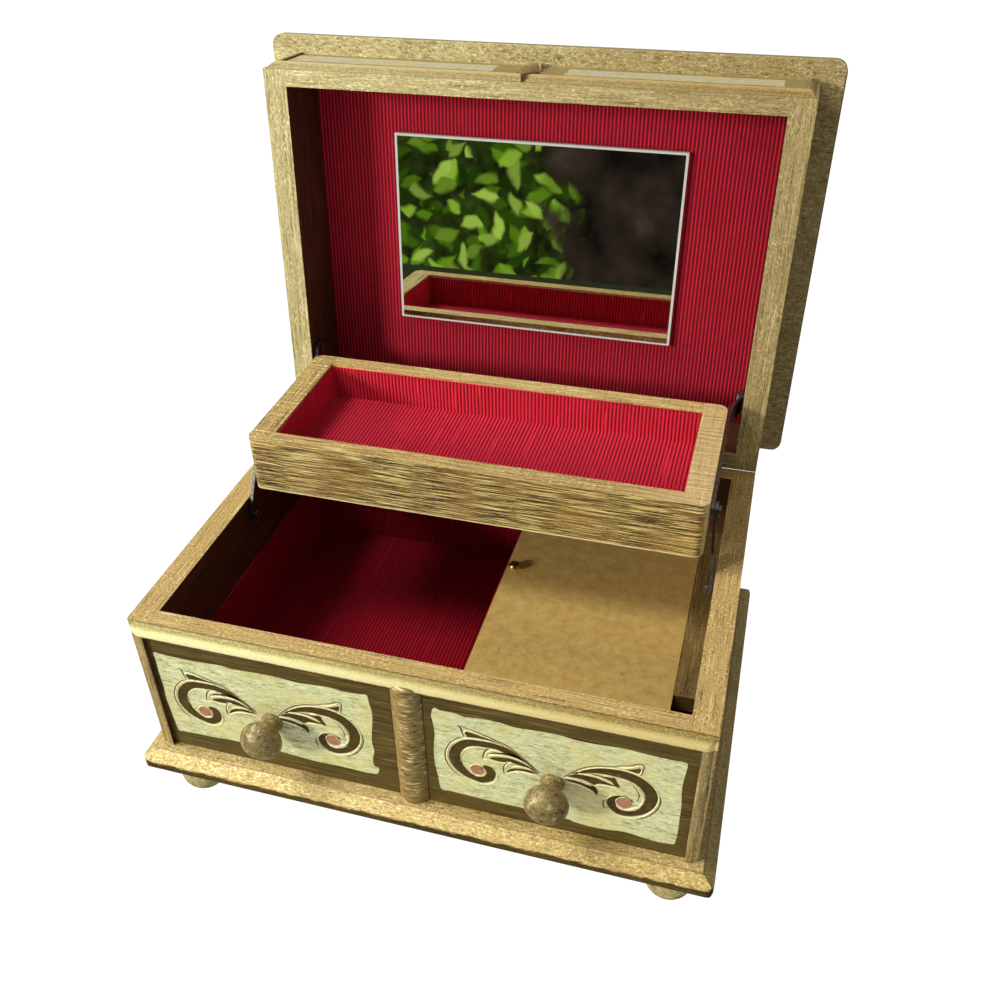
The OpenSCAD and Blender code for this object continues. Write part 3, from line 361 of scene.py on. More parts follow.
def board(name, body, tones, grain, flecks, rough=0.5, metal=0.1):
    """Plain board in one paint."""
    p = Paint(name, body, rough, metal)
    c, streak = p.grain(tones, grain, 1.0, flecks)
    height = p.math("ADD", streak, p.math("MULTIPLY", p.noise(2.4, detail=3), 0.7))
    return p.finish(c, height, 0.3)


def edge_board(name, body, edge_z, outward):
    """Plinth or lid board: speckled pale gold, with an uneven dark brown glaze beyond edge_z."""
    p = Paint(name, body, 0.46, 0.15)
    lid = body == "lid"
    c, streak = p.grain(LID if lid else SPECKLE, (0.3, 0.9, 1.1), 1.2, 0.9)
    # Painted shade darkens and warms the board towards the right
    c = p.shade_right(c, LID_SHADE_TINT if lid else PLINTH_SHADE_TINT)
    brown, _ = p.grain(BROWN, ALONG_X, 1.0, 0.6)
    z = p.math("MULTIPLY", p.math("SUBTRACT", p.part(p.at)[2], edge_z), outward)
    uneven = p.math("MULTIPLY_ADD", p.noise(0.3, (0.6, 1, 1), 5, 0.65), 4.4, -2.2)
    c = p.mix(p.step(p.math("ADD", z, uneven), -0.3, 0.6), c, brown)
    grime = p.step(p.noise(0.035, (0.5, 1, 1), 4, 0.6), 0.5, 0.72)
    c = p.over(c, grime, 0.45, rgb(128, 100, 52))
    # Painted shade: faces turned to the right are darkened with brown, as they lie away from the light
    c = p.over(c, p.face(RIGHTWARD, 0.5, 0.8), 0.75, brown)
    # A thin line of painted shade in the step where the board's moulded edge begins
    line = p.math("COMPARE", z, -4.3, 0.22)
    c = p.over(c, line, 0.6, rgb(110, 88, 40))
    return p.finish(c, p.math("ADD", streak, p.noise(2.6, detail=3)), 0.35)


def combed(name, ends=False):
    """Tray front and the ends of its sides: deep comb marks with gold on the ridges."""
    p = Paint(name, "tray", 0.42, 0.25)
    c, streak = p.grain(COMB, (0.035, 0.4, 1.5), 1.0, 0.35)
    fine = p.noise(1.0, (0.05, 0.5, 2.3), 2, 0.55)
    c = p.over(c, p.step(fine, 0.53, 0.58), 0.9, COMB[2])
    c = p.over(c, p.step(fine, 0.46, 0.41), 0.9, COMB[0])
    wear_and_shade = p.step(p.noise(0.045, detail=3, rough=0.6), 0.42, 0.62)
    c = p.over(c, wear_and_shade, 0.35, rgb(178, 132, 58))
    lower_edge = p.step(p.part(p.at)[2], -11.6, -12.1)
    c = p.mix(lower_edge, c, rgb(244, 226, 160))
    rim, _ = p.grain(RIM, ALONG_Y if ends else ALONG_X, 0.9, 0.9)
    # Painted light: the tray's rim is made lighter towards the right
    lit_right = p.step(p.part(p.at)[0], 55.0, 92.0)
    rim = p.over(rim, lit_right, 0.5, rgb(244, 218, 156))
    c = p.mix(p.face(FRONT, 0.5, 0.9), rim, c)
    return p.finish(c, p.math("ADD", streak, fine), 0.9, 0.9)


def turned_wood(name, tones, rough=0.4):
    p = Paint(name, "case", rough, 0.25)
    c, _ = p.grain(tones, (0.6, 0.6, 0.6), 0.6, 0.4)
    return p.finish(c, p.noise(1.2, detail=4, rough=0.7), 0.3)


def corduroy(name, body, tone=1.0, deep=0.0):
    """Red cloth, with painted shade between the ribs and painted highlights on them. deep darkens it
    towards the floor with painted shade.
    """
    p = Paint(name, body, 0.9)
    fuzz = p.noise(3.2, detail=3, rough=0.7)
    wear = p.noise(0.05, detail=3)
    c = p.ramp(fuzz, (0.3, rgb(118 * tone, 2, 18)), (0.5, rgb(192 * tone, 12, 42)),
               (0.72, rgb(238 * tone, 62, 88)))
    c = p.over(c, p.step(wear, 0.35, 0.75), 0.5, rgb(176 * tone, 8, 34))
    # Painted shade in the valleys between the ribs and painted highlights on their crests
    ridge = p.node("ShaderNodeNewGeometry").outputs["Pointiness"]
    c = p.over(c, p.step(ridge, 0.498, 0.465), 0.7, rgb(70, 0, 10))
    c = p.over(c, p.step(ridge, 0.504, 0.535), 0.5, rgb(244, 54, 80))
    # Painted shade: the cloth darkens towards the compartment's floor
    if deep:
        low = p.step(p.part(p.at)[2], -4.0, -34.0)
        c = p.over(c, low, deep, rgb(124, 0, 4))
    p.put(0.12 * (1 - deep), p.out.inputs["Sheen Weight"])
    p.put(rgb(255, 120, 140), p.out.inputs["Sheen Tint"])
    p.put(0.25 * (1 - deep), p.out.inputs["Specular IOR Level"])
    return p.finish(c, fuzz, 0.4, 0.9)


def metal(name, tone, rough, dark):
    """Drawn metal, tarnished in patches to a share of its tone."""
    p = Paint(name, "case", rough, 1.0)
    n = p.noise(0.9, detail=5, rough=0.65)
    c = p.ramp(n, (0.25, tuple(v * dark for v in tone)), (0.6, tone))
    p.put(p.math("MULTIPLY_ADD", n, 0.25, rough - 0.1), p.out.inputs["Roughness"])
    return p.finish(c, p.noise(2.5, (1, 0.15, 0.15), 3), 0.05, 0.4)


def mirror_glass(name):
    """Silvered glass: a clear face with faint smears, and a pale ground band along its edges."""
    p = Paint(name, "lid", 0.02, 1.0)
    lo, hi = shut_box("mirror_glass", "lid")
    x, y, _ = p.part(p.at)

    def inside(v, a, b):
        """How far v is from the nearer end of its range."""
        return p.math("MINIMUM", p.math("SUBTRACT", v, a), p.math("SUBTRACT", b, v))

    band = p.step(p.math("MINIMUM", inside(x, lo.x, hi.x), inside(y, lo.y, hi.y)), 1.15, 0.95)
    off_face = p.math("SUBTRACT", 1.0, p.face(DOWN, 0.8, 0.98))
    edge = p.math("MAXIMUM", off_face, band)
    smear = p.math("MULTIPLY", p.step(p.noise(0.08, detail=6, rough=0.7), 0.55, 0.85),
                   p.step(p.noise(1.4), 0.4, 0.7))
    rough = p.math("ADD", p.math("MULTIPLY", smear, 0.12),
                   p.math("MULTIPLY_ADD", edge, 0.35, 0.015))
    p.put(rough, p.out.inputs["Roughness"])
    p.put(p.mix(edge, rgb(226, 232, 230), rgb(204, 206, 196)), p.out.inputs["Base Color"])
    p.put(p.math("SUBTRACT", 1.0, edge), p.out.inputs["Metallic"])
    return p.m


def flat_paint(name, body, tones, squeeze, scale, rough, depth):
    """Plain streaked paint without flecks."""
    p = Paint(name, body, rough)
    c, streak = p.grain(tones, squeeze, scale, 0.0)
    return p.finish(c, streak, depth)


def cover_paint(name):
    """Gold cover board with fine creases and dark specks."""
    p = Paint(name, "case", 0.42, 0.3)
    n = p.noise(0.2, detail=6, rough=0.7)
    c = p.ramp(n, (0.28, rgb(206, 166, 88)), (0.5, rgb(226, 188, 106)), (0.74, rgb(240, 206, 126)))
    crease = p.lines(p.noise(0.09, detail=4, rough=0.62), 0.006)
    c = p.over(c, crease, 0.35, rgb(132, 98, 46))
    dots = p.step(p.noise(2.6), 0.7, 0.75)
    c = p.over(c, dots, 0.4, rgb(112, 78, 34))
    height = p.math("ADD", p.noise(1.6, detail=4), p.math("MULTIPLY", crease, 1.5))
    return p.finish(c, height, 0.2)


def pale_paint(name, body, tones):
    """Pale field: fine brush marks with glaze in them, yellower in patches."""
    p = Paint(name, body, 0.5)
    c, streak = p.grain(tones, (0.22, 0.8, 0.8), 1.0, 0.0)
    dash = p.noise(1.5, (0.3, 1.0, 1.0), 3, 0.65)
    c = p.over(c, p.step(dash, 0.45, 0.33), 0.6, rgb(130, 122, 66))
    c = p.over(c, p.step(dash, 0.56, 0.68), 0.6, rgb(236, 238, 204))
    yellow = p.step(p.noise(0.05, detail=3), 0.42, 0.66)
    c = p.over(c, yellow, 0.5, rgb(206, 194, 116))
    return p.finish(c, p.math("ADD", streak, dash), 0.25)


# Bare wood reflects little: no flecks, rough, no metal
BARE_WOOD = (0.0, 0.7, 0.0)
# Scale, roughness and bump of the brown borders
BORDER = (1.0, 0.5, 0.25)
brown_case = flat_paint("border_brown", "case", BROWN, ALONG_X, *BORDER)
brown_lid = flat_paint("border_brown_lid", "lid", OLIVE, ALONG_X, *BORDER)
bare_case = board("bare_wood", "case", BARE, ALONG_Y, *BARE_WOOD)
tray_end = combed("tray_end_gold", True)
knob = turned_wood("knob_paint", KNOB, 0.34)
# The case's cloth: a darker copy, with painted shade deepening towards its floor
case_cloth = corduroy("cloth_case", "case", 0.95, 0.6)

look = {
    "left_wall": wall("left_wall", "case", UP, INNER["left"], grain=ALONG_Y),
    "right_wall": wall("right_wall", "case", UP, INNER["right"], grain=ALONG_Y),
    "front_wall": wall("front_wall", "case", UP, INNER["front"]),
    "back_wall": wall("back_wall", "case", UP, INNER["back"], front=UNDERSIDE),
    "plinth": edge_board("plinth", "case", -74.0, -1.0),
    "lid_board": edge_board("lid_board", "lid", 35.5, 1.0),
    "left_front_panel": brown_case,
    "right_front_panel": brown_case,
    "lid_left_panel": brown_lid,
    "lid_right_panel": brown_lid,
    "lid_field": flat_paint("border_brown_top", "lid", BROWN, ALONG_X, *BORDER),
    "front_divider": flat_paint("divider_wood", "case", DIVIDER, (0.22, 0.22, 1.3), 1.0, 0.5, 0.6),
    "lid_divider": flat_paint("lid_divider_wood", "lid", LOZENGE, (1.8, 0.5, 0.5), 1.2, 0.55, 0.5),
    "left_knob": knob,
    "right_knob": knob,
    "bottom_board": bare_case,
    "partition": bare_case,
    "cover_strip": board("strip_wood", "case", SIDE, ALONG_Y, 0.3, 0.6, 0.05),
    "cover_board": cover_paint("cover_board"),
    "tray_floor": board("tray_floor_wood", "tray", BARE, ALONG_X, *BARE_WOOD),
    "tray_front": combed("tray_front"),
    "tray_back": board("tray_gold", "tray", RIM, ALONG_X, 0.9),
    "tray_left_side": tray_end,
    "tray_right_side": tray_end,
    "mirror_glass": mirror_glass("mirror_glass"),
    "left_lining": case_cloth,
    "right_lining": case_cloth,
    "lid_lining": corduroy("cloth_lid", "lid"),
    "tray_lining": corduroy("cloth_tray", "tray", 1.04),
}
for side, inner in INNER.items():
    look[f"lid_{side}_rail"] = wall(f"lid_{side}_rail", "lid", DOWN, inner,
                                    grain=ALONG_X if side in ("front", "back") else ALONG_Y)
foot = turned_wood("foot_paint", FOOT)
steel = metal("steel", STEEL, 0.34, 0.35)
brass = metal("brass", BRASS, 0.3, 0.5)
slots = {s["node"]: s["material_slot"] for s in frame["record"]["subparts"]}
for name, obj in nodes.items():
    rest = foot if name.endswith("_foot") else steel if slots[name] == "steel" else brass
    obj.data.materials.clear()
    obj.data.materials.append(look.get(name, rest))


def piece(name, verts, faces, mat, body, smooth=True):
    """A new mesh that rides on a body, with the finish that it is given."""
    me = bpy.data.meshes.new(name)
    me.from_pydata(verts, [], faces)
    me.validate()
    o = bpy.data.objects.new(name, me)
    bpy.context.scene.collection.objects.link(o)
    me.materials.append(mat)
    for f in me.polygons:
        f.use_smooth = smooth
    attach(o, body)
    return o


# Corduroy, with every rib modelled: the ribs' distance, cross-section and height
PITCH = 1.63
RIB = ((0.0, 0.0), (0.12, 0.4), (0.28, 0.85), (0.5, 1.0), (0.72, 0.85), (0.88, 0.4))
RIB_H = 0.5
# How far the cloth swells, its thickness in a box, and the ribs' foot above the lid lining's face
SWELL = 0.12
SKIN = 1.0
LID_FOOT = 0.15
# Rows of points along a rib
FLOOR_ROWS, WALL_ROWS = 10, 5


class Cloth:
    """Ribbed cloth on plain blocks, drawn in the shut box's millimetres."""

    def __init__(self, body):
        self.body, self.place = body, PLACES[body]
        self.v, self.f = [], []

    def slab(self, low, high):
        """A plain closed block that carries a patch of ribs."""
        base = len(self.v)
        for z in (low[2], high[2]):
            for x, y in ((low[0], low[1]), (high[0], low[1]), (high[0], high[1]), (low[0], high[1])):
                self.v.append(self.place(x, y, z))
        for f in ((0, 3, 2, 1), (4, 5, 6, 7), (0, 1, 5, 4), (1, 2, 6, 5), (2, 3, 7, 6), (3, 0, 4, 7)):
            self.f.append(tuple(base + i for i in f))

    def ribs(self, origin, across, along, out, width, length, rows=FLOOR_ROWS):
        """A corrugated patch: ribs stand out from the plane through origin and run along one way."""
        origin, across, along, out = map(Vector, (origin, across, along, out))
        n = max(1, round(width / PITCH))
        step = width / n
        cols = [(i + f) * step for i in range(n) for f, _ in RIB] + [width]
        rise = [h for i in range(n) for _, h in RIB] + [0.0]
        base = len(self.v)
        # Noise makes the cloth swell, sway and wear, so that no two ribs are alike
        for r in range(rows + 1):
            for u, h in zip(cols, rise):
                v = length * r / rows
                p = origin + along * v + across * u
                swell = SWELL * noise.noise(p * 0.06) + 0.05 * noise.noise(p * 0.5)
                sway = 0.25 * noise.noise(Vector((v * 0.03, u * 0.02, 7)))
                wear_and_shade = 0.9 + 0.2 * noise.noise(p * 0.3)
                p += out * (RIB_H * h * wear_and_shade + swell) + across * sway
                self.v.append(self.place(*p))
        w = len(cols)
        for r in range(rows):
            for c in range(w - 1):
                k = base + r * w + c
                self.f.append((k, k + 1, k + w + 1, k + w))

    def replace(self, name, node):
        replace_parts(piece(name, self.v, self.f, look[node], self.body), node)


def lined_box(name, node, body):
    """Cloth lining of a compartment: a ribbed floor and four ribbed walls."""
    cloth = Cloth(body)
    lo, hi = shut_box(node, body)
    t = SKIN - RIB_H - SWELL
    cloth.slab(lo, (hi.x, hi.y, lo.z + t))
    cloth.slab(lo, (lo.x + t, hi.y, hi.z))
    cloth.slab((hi.x - t, lo.y, lo.z), hi)
    cloth.slab(lo, (hi.x, lo.y + t, hi.z))
    cloth.slab((lo.x, hi.y - t, lo.z), hi)
    w, d, h = hi.x - lo.x - 2 * t, hi.y - lo.y - 2 * t, hi.z - lo.z - t
    x, y, z = lo.x + t, lo.y + t, lo.z + t
    cloth.ribs((x, y, z), (1, 0, 0), (0, 1, 0), (0, 0, 1), w, d)
    for start, out in ((x, (1, 0, 0)), (x + w, (-1, 0, 0))):
        cloth.ribs((start, y, z), (0, 1, 0), (0, 0, 1), out, d, h, WALL_ROWS)
    for start, out in ((y, (0, 1, 0)), (y + d, (0, -1, 0))):
        cloth.ribs((x, start, z), (1, 0, 0), (0, 0, 1), out, w, h, WALL_ROWS)
    cloth.replace(name, node)


lined_box("left_cloth", "left_lining", "case")
lined_box("right_cloth", "right_lining", "case")
lined_box("tray_cloth", "tray_lining", "tray")

lo, hi = shut_box("lid_lining", "lid")
foot_z = lo.z + RIB_H + LID_FOOT
lid_cloth = Cloth("lid")
lid_cloth.slab((lo.x, lo.y, foot_z), hi)
lid_cloth.ribs((lo.x, lo.y, foot_z), (1, 0, 0), (0, 1, 0), (0, 0, -1), hi.x - lo.x, hi.y - lo.y)
lid_cloth.replace("lid_cloth", "lid_lining")


# Painted and carved ornament, drawn on a face in millimetres
def smooth_line(points, closed=False, n=6):
    """Catmull-Rom curve through the points."""
    pts = [Vector(p) for p in points]
    m = len(pts)
    out = []
    for i in range(m if closed else m - 1):
        if closed:
            a, b, c, d = (pts[(i + k) % m] for k in (-1, 0, 1, 2))
        else:
            a, b, c, d = pts[max(i - 1, 0)], pts[i], pts[i + 1], pts[min(i + 2, m - 1)]
        for k in range(n):
            t = k / n
            out.append(0.5 * (2 * b + (c - a) * t + (2 * a - 5 * b + 4 * c - d) * t * t
                              + (3 * b - a - 3 * c + d) * t ** 3))
    if not closed:
        out.append(pts[-1])
    return out


class Layer:
    """Flat shapes and raised strokes of one colour, on a face given by place(x, height, z)."""

    # Cross-section of a stroke: share of its half width, and of its height
    PROFILE = ((-1, 0), (-0.6, 0.75), (0, 1), (0.6, 0.75), (1, 0))
    FILL_STEPS, STROKE_STEPS = 5, 7
    # Height of a stroke's foot, just above the pale field
    LOW = 0.06

    def __init__(self):
        self.v, self.f = [], []

    def fill(self, place, outline, height):
        pts = smooth_line(outline, True, self.FILL_STEPS)
        base = len(self.v)
        self.v += [place(p[0], height, p[1]) for p in pts]
        for tri in tessellate_polygon([[Vector((p[0], p[1], 0)) for p in pts]]):
            self.f.append(tuple(base + i for i in tri))

    def stroke(self, place, line, width, height, ends=0.15):
        """A raised stroke. ends is the share of its width that is left at its two ends."""
        pts = smooth_line(line, False, self.STROKE_STEPS)
        n, cols = len(pts), len(self.PROFILE)
        base = len(self.v)
        for i, p in enumerate(pts):
            t = (pts[min(i + 1, n - 1)] - pts[max(i - 1, 0)]).normalized()
            side = Vector((-t[1], t[0]))
            s = min(max(i / (n - 1), 0.02), 0.98)
            w = width / 2 * (ends + (1 - ends) * math.sin(math.pi * s) ** 0.5)
            w *= 1 + 0.2 * noise.noise(Vector((p[0] * 0.7, p[1] * 0.7, 3)))
            for a, h in self.PROFILE:
                q = p + side * w * a
                self.v.append(place(q[0], self.LOW + height * h, q[1]))
        for i in range(n - 1):
            for k in range(cols - 1):
                b = base + i * cols + k
                self.f.append((b, b + 1, b + cols + 1, b + cols))


# Left scroll of a pair, as it lies on the right panel: carved outlines, cream strokes and thin
# lines with their widths, and the eye with its radius
A_DARK = [
    [(49, -38.3), (46, -35.2), (43, -32.5), (40, -30), (37, -28.7), (33.5, -28.1), (30, -28),
     (26, -28.3), (22.5, -29), (19.5, -31), (17, -34), (15.6, -37.5), (15.3, -41), (16, -44),
     (17.8, -47), (20.5, -49.3), (24, -50.8), (27, -51.6), (29.5, -51), (31.8, -49.3), (33, -47),
     (33.3, -44.5), (32.5, -42.4), (31, -41.3), (29, -41.2), (28.4, -42.2), (29.4, -43.6),
     (29.7, -45.6), (28.7, -47.7), (26, -48.6), (23.5, -47.3), (21.5, -44.8), (20.3, -42), (19.8, -39),
     (20.3, -36.3), (21.8, -33.8), (23.8, -32.2), (26.5, -31.4), (29.5, -31.1), (33, -30.9),
     (36, -31.6), (40, -32.9), (44, -34.6)],
    [(22, -24.8), (25.5, -25), (29, -25.8), (33, -26.6), (37, -28.2), (33, -27.1), (28, -26.9),
     (24, -27.3), (22.9, -27.2)],
    [(31.1, -34.1), (32.5, -32.9), (35, -32.4), (37.5, -31.6), (41, -31.8), (44, -34), (40, -33.1),
     (36, -33.1), (33, -33.6)],
    [(31, -36.6), (33, -35.4), (36, -34.7), (39.5, -34.5), (43, -35.2), (46.5, -36.9), (49.4, -39),
     (46, -37.9), (43, -37.2), (40, -36.6), (38, -36.2), (36.8, -37), (33.5, -37.2)],
    [(37.3, -42.6), (38.5, -40.6), (40.5, -39.3), (43.5, -38.6), (46.5, -38.7), (49.5, -39.5),
     (47, -39.9), (44, -39.8), (41.5, -40.2), (39.3, -41.4)],
]
A_CREAM = [
    ([(37.5, -28.5), (33.5, -27.6), (29, -27.4), (25, -27.7), (22, -28.5), (19, -30.4), (16.5, -33.2),
      (15, -36.7), (14.6, -40.2), (15.2, -43.8), (16.9, -47.2), (18.7, -49), (20.5, -50.2),
      (23.5, -51.5), (27, -52.3), (30, -51.8), (32.6, -49.9), (33.9, -47.2), (34, -44.5)], 0.75),
    ([(22.6, -27.6), (21.7, -25.3), (22.8, -24), (26, -24.1), (29, -24.9)], 0.7),
    ([(29.4, -36.9), (29.7, -35), (30.4, -33.2), (31.8, -32.1), (33.8, -31.6), (35.9, -31.7)], 0.85),
    ([(30.6, -35.4), (32.5, -34.3), (35, -33.7), (38, -33.5), (41, -33.8), (44, -34.9),
      (47, -36.8)], 0.8),
    ([(28.8, -38), (31, -37.6), (34, -37.9), (37, -37.6)], 0.5),
    ([(37, -41), (37.2, -39.3), (38, -37.6), (39.6, -36.2)], 0.9),
    ([(39.3, -39), (41.5, -38), (44, -37.6), (46.5, -37.9)], 0.75),
    ([(37.4, -43.8), (39, -42.1), (41.5, -41), (44.5, -40.5), (48, -40.4), (49.6, -40.6)], 0.6),
    ([(19.9, -41.5), (20.2, -38), (21.3, -35.4), (23.4, -33.1), (26, -31.9), (29.2, -31.5)], 0.4),
    ([(20.8, -43.4), (22.6, -45), (24, -45.8)], 0.7),
    ([(25.6, -48.2), (28, -47.4), (29.2, -45.4), (28.7, -43.4)], 0.5),
]
A_LINE = [
    ([(20.8, -28.3), (18, -30.3), (15.6, -33.6), (14.1, -37.5), (13.8, -41), (14.6, -44.8),
      (16.8, -48.4), (19.3, -50.4)], 0.55),
    ([(19, -22.5), (20.2, -22.8), (20.8, -25), (21.5, -27.6)], 0.7),
    ([(21, -22.6), (25, -23.4), (29, -24.5), (33, -25.9), (37, -27.4), (41, -30.2), (44.5, -33.2),
      (47.5, -36.3), (50, -38.6)], 0.55),
    ([(28.4, -37.3), (28.8, -35), (29.5, -33), (30.8, -31.5)], 0.6),
    ([(36.5, -43.4), (36.3, -41), (36.8, -38.8), (37.9, -36.8)], 0.6),
]
A_EYE = ((26.3, -44.6), 2.75)

# Right scroll of a pair
B_DARK = [
    [(62, -35.3), (64.3, -33.2), (67, -31.4), (70, -29.7), (73, -28.8), (76.5, -28.2), (80, -28.1),
     (83.5, -28.7), (87, -30.1), (90, -32.5), (92, -35.3), (92.8, -38.3), (92.8, -41), (92, -44.3),
     (90.3, -47.3), (88, -49.8), (85, -51.6), (82, -52.5), (79, -52.2), (76.7, -50.6), (75.4, -48.6),
     (75, -46.4), (75.7, -44.3), (77.2, -42.7), (79.3, -41.9), (81.5, -41.7), (83.6, -42.6),
     (84.9, -44.2), (83.6, -43.6), (81.4, -42.6), (79.4, -43.2), (78.3, -44.8), (78.3, -47),
     (79.2, -49), (81.5, -49.8), (84, -49.1), (86.4, -47.2), (88, -44), (88.5, -41), (88, -38),
     (86.5, -35.5), (84.5, -33.6), (82, -32.5), (79, -32), (76.5, -31.9), (74, -31.8), (71, -32.2),
     (68, -33), (65, -34.4)],
    [(81, -26.9), (83.5, -26), (85.5, -24.9), (85.9, -26), (85.2, -27.6), (83, -27.4)],
    [(66.5, -33.3), (70, -33.1), (73, -33.2), (75.5, -33.1), (77.2, -32.8), (78, -34.5), (79.2, -37.4),
     (77.2, -37.1), (76.3, -35.4), (73.5, -34.1), (70, -33.5)],
    [(60.2, -37.3), (62.5, -35.6), (65, -34.9), (68, -34.8), (71, -35), (74, -35.9), (76.5, -36.7),
     (76.8, -37.3), (73, -37.4), (71.2, -37.9), (70, -38.8), (67.5, -37.8), (64.5, -37.2)],
    [(59.3, -39.3), (62, -38.9), (65, -39.2), (67.3, -39.8), (69.6, -39.5), (71.3, -41.2),
     (71.2, -44.2), (69.5, -42.3), (66.5, -40.8), (63.5, -40.1), (60.5, -39.9)],
]
B_CREAM = [
    ([(64, -33.4), (66, -31.7), (69, -29.9), (72, -28.7), (75, -28), (78, -27.6), (81, -27.6),
      (84, -28), (87, -29.4), (90, -31.8), (92.1, -34.8), (93.2, -38.2), (93.2, -41), (92.4, -44.3),
      (91, -47.3), (89, -50), (86.5, -52), (84, -53.1), (81, -53.5), (78.6, -53.1), (76, -51.2),
      (74.7, -48.9), (74.4, -46.6), (75.1, -44.4), (76.8, -42.6)], 0.7),
    ([(78.3, -26.7), (81, -26), (83, -25.2), (85.2, -23.7)], 0.85),
    ([(86.2, -24.6), (86.1, -27), (85.3, -28.6)], 0.55),
    ([(79.4, -48.6), (81.5, -49.1), (83.5, -48.3), (85, -47.1), (86.6, -45.8), (87.7, -43),
      (87.9, -40.6), (87.2, -38.3), (86, -36.2), (84.4, -34.3)], 0.85),
    ([(73, -32.8), (75, -32.3), (76.3, -32.6)], 0.6),
    ([(64, -34.4), (67, -34.1), (70, -34.1), (73, -34.6), (76.3, -35.9)], 0.8),
    ([(70.2, -39), (72, -38.4), (75, -38), (78.5, -38.3)], 0.6),
    ([(59.3, -38.3), (62, -38), (65, -38.3), (67.5, -39.1), (69, -39.7)], 0.65),
    ([(60, -40.5), (63.5, -40.7), (66.5, -41.5), (69, -43), (70.9, -45)], 0.55),
    ([(78.6, -32.3), (81.5, -32.9), (83.6, -34)], 0.45),
]
B_LINE = [
    ([(59, -38), (62, -34.4), (65, -31.5), (68.5, -29.2), (72, -27.9), (76, -26.9), (78, -26)], 0.5),
    ([(77.8, -26), (79.5, -25.3), (82, -24.5), (84, -23.2), (85.6, -22.6), (86.9, -23.4), (86.8, -25.2),
      (86.2, -28.3)], 0.5),
    ([(93.6, -38), (94, -41), (93.3, -44.5), (91.7, -48), (89.3, -50.9), (86.3, -52.9)], 0.5),
    ([(74, -46), (73.7, -48.5), (74.4, -50.7)], 0.6),
    ([(85.9, -42.5), (86.3, -39.5), (85.3, -37), (83.8, -35)], 0.4),
]
B_EYE = ((81.3, -45.2), 2.85)

SCROLLS = ((A_DARK, A_CREAM, A_LINE, A_EYE), (B_DARK, B_CREAM, B_LINE, B_EYE))

# Pale fields with wavy edges
LEFT_FIELD = [
    (-103.2, -17), (-100, -16.9), (-92, -17.3), (-85, -17.2), (-75, -16.5), (-70, -17.1), (-65, -16.9),
    (-57, -16.5), (-50, -16.6), (-43, -17.2), (-37, -16.7), (-30, -16.2), (-24, -16.8), (-18, -16.4),
    (-15.3, -16.2), (-14.7, -20), (-14, -25), (-14.2, -30), (-15, -36), (-15.5, -42), (-15, -47),
    (-16, -52), (-15.7, -56), (-14, -56.6), (-14.2, -59), (-15.2, -60.6), (-20, -61.3), (-30, -61),
    (-40, -61.3), (-48, -60.8), (-56, -60.3), (-63, -60.4), (-70, -60), (-78, -60), (-85, -60.5),
    (-93, -60.8), (-99.5, -61.2), (-101.8, -61.3), (-102.4, -58.5), (-103, -50), (-103.6, -42),
    (-103.1, -36), (-103.4, -28), (-103.2, -21)]
RIGHT_FIELD = [
    (10.6, -15.5), (13, -16.2), (18, -16.1), (22, -16.8), (29, -16.2), (35, -16.2), (40, -17),
    (45, -16.8), (50, -16.4), (57, -16.3), (62, -17), (68, -17.1), (74, -16.7), (79, -16.3),
    (84, -16.6), (90, -16.9), (96, -17.1), (100.5, -17), (101.3, -19), (100.8, -25), (100.6, -32),
    (101.2, -40), (101.3, -48), (101.4, -55), (101, -61.5), (99.8, -62.9), (94, -63.4), (88, -62.7),
    (82, -62), (76, -63), (70, -63.4), (64, -62.8), (60, -62), (50, -61.8), (42, -61.3), (35, -61.5),
    (28, -61.3), (22, -61.2), (15, -61), (12, -61.3), (10.9, -59.5), (10.5, -54), (9.9, -50),
    (9.4, -44), (9.6, -36), (10.2, -30), (9.9, -24), (9.4, -19.5)]

# Heights of the flat layers above the face and of the strokes above their foot
FIELD_H, DARK_H, EYE_H, LINE_H, CREAM_H, RING_H = 0.05, 0.10, 0.16, 0.12, 0.3, 0.22
LINE_ENDS = 0.4
# The open ring round an eye: how far outside it, how wide, and which points of the circle
RING_GAP, RING_W = 0.15, 0.4
RING = slice(4, 25)


def circle(centre, r, n=28):
    """A circle painted by hand."""
    return [(centre[0] + r * math.cos(2 * math.pi * i / n) * (1 + 0.04 * math.sin(5 * i)),
             centre[1] + r * math.sin(2 * math.pi * i / n)) for i in range(n)]


def scrolls(place, dark, cream, line, eye):
    """A pair of scrolls, one shape or stroke after another into the layer of its colour."""
    for outlines, cream_lines, thin_lines, (centre, r) in SCROLLS:
        for outline in outlines:
            dark.fill(place, outline, DARK_H)
        for pts, w in thin_lines:
            line.stroke(place, pts, w, LINE_H, LINE_ENDS)
        for pts, w in cream_lines:
            cream.stroke(place, pts, w, CREAM_H)
        eye.fill(place, circle(centre, r), EYE_H)
        cream.stroke(place, circle(centre, r + RING_GAP)[RING], RING_W, RING_H)


def rough_frame(x0, x1, z0, z1, seed):
    """A rectangle with hand-cut wavy edges, with a point every 6 mm or so."""
    corners = ((x0, z0), (x1, z0), (x1, z1), (x0, z1))
    out = []
    for (a, b), (c, d) in zip(corners, corners[1:] + corners[:1]):
        n = max(2, round(math.hypot(c - a, d - b) / 6.0))
        for i in range(n):
            x, z = a + (c - a) * i / n, b + (d - b) * i / n
            out.append((x + 0.5 * noise.noise(Vector((x, z, seed)) * 0.21),
                        z + 0.5 * noise.noise(Vector((x, z, seed + 9)) * 0.21)))
    return out


field_paint = {"case": pale_paint("pale_field", "case", PALE),
               "lid": pale_paint("pale_field_lid", "lid", STRIP)}


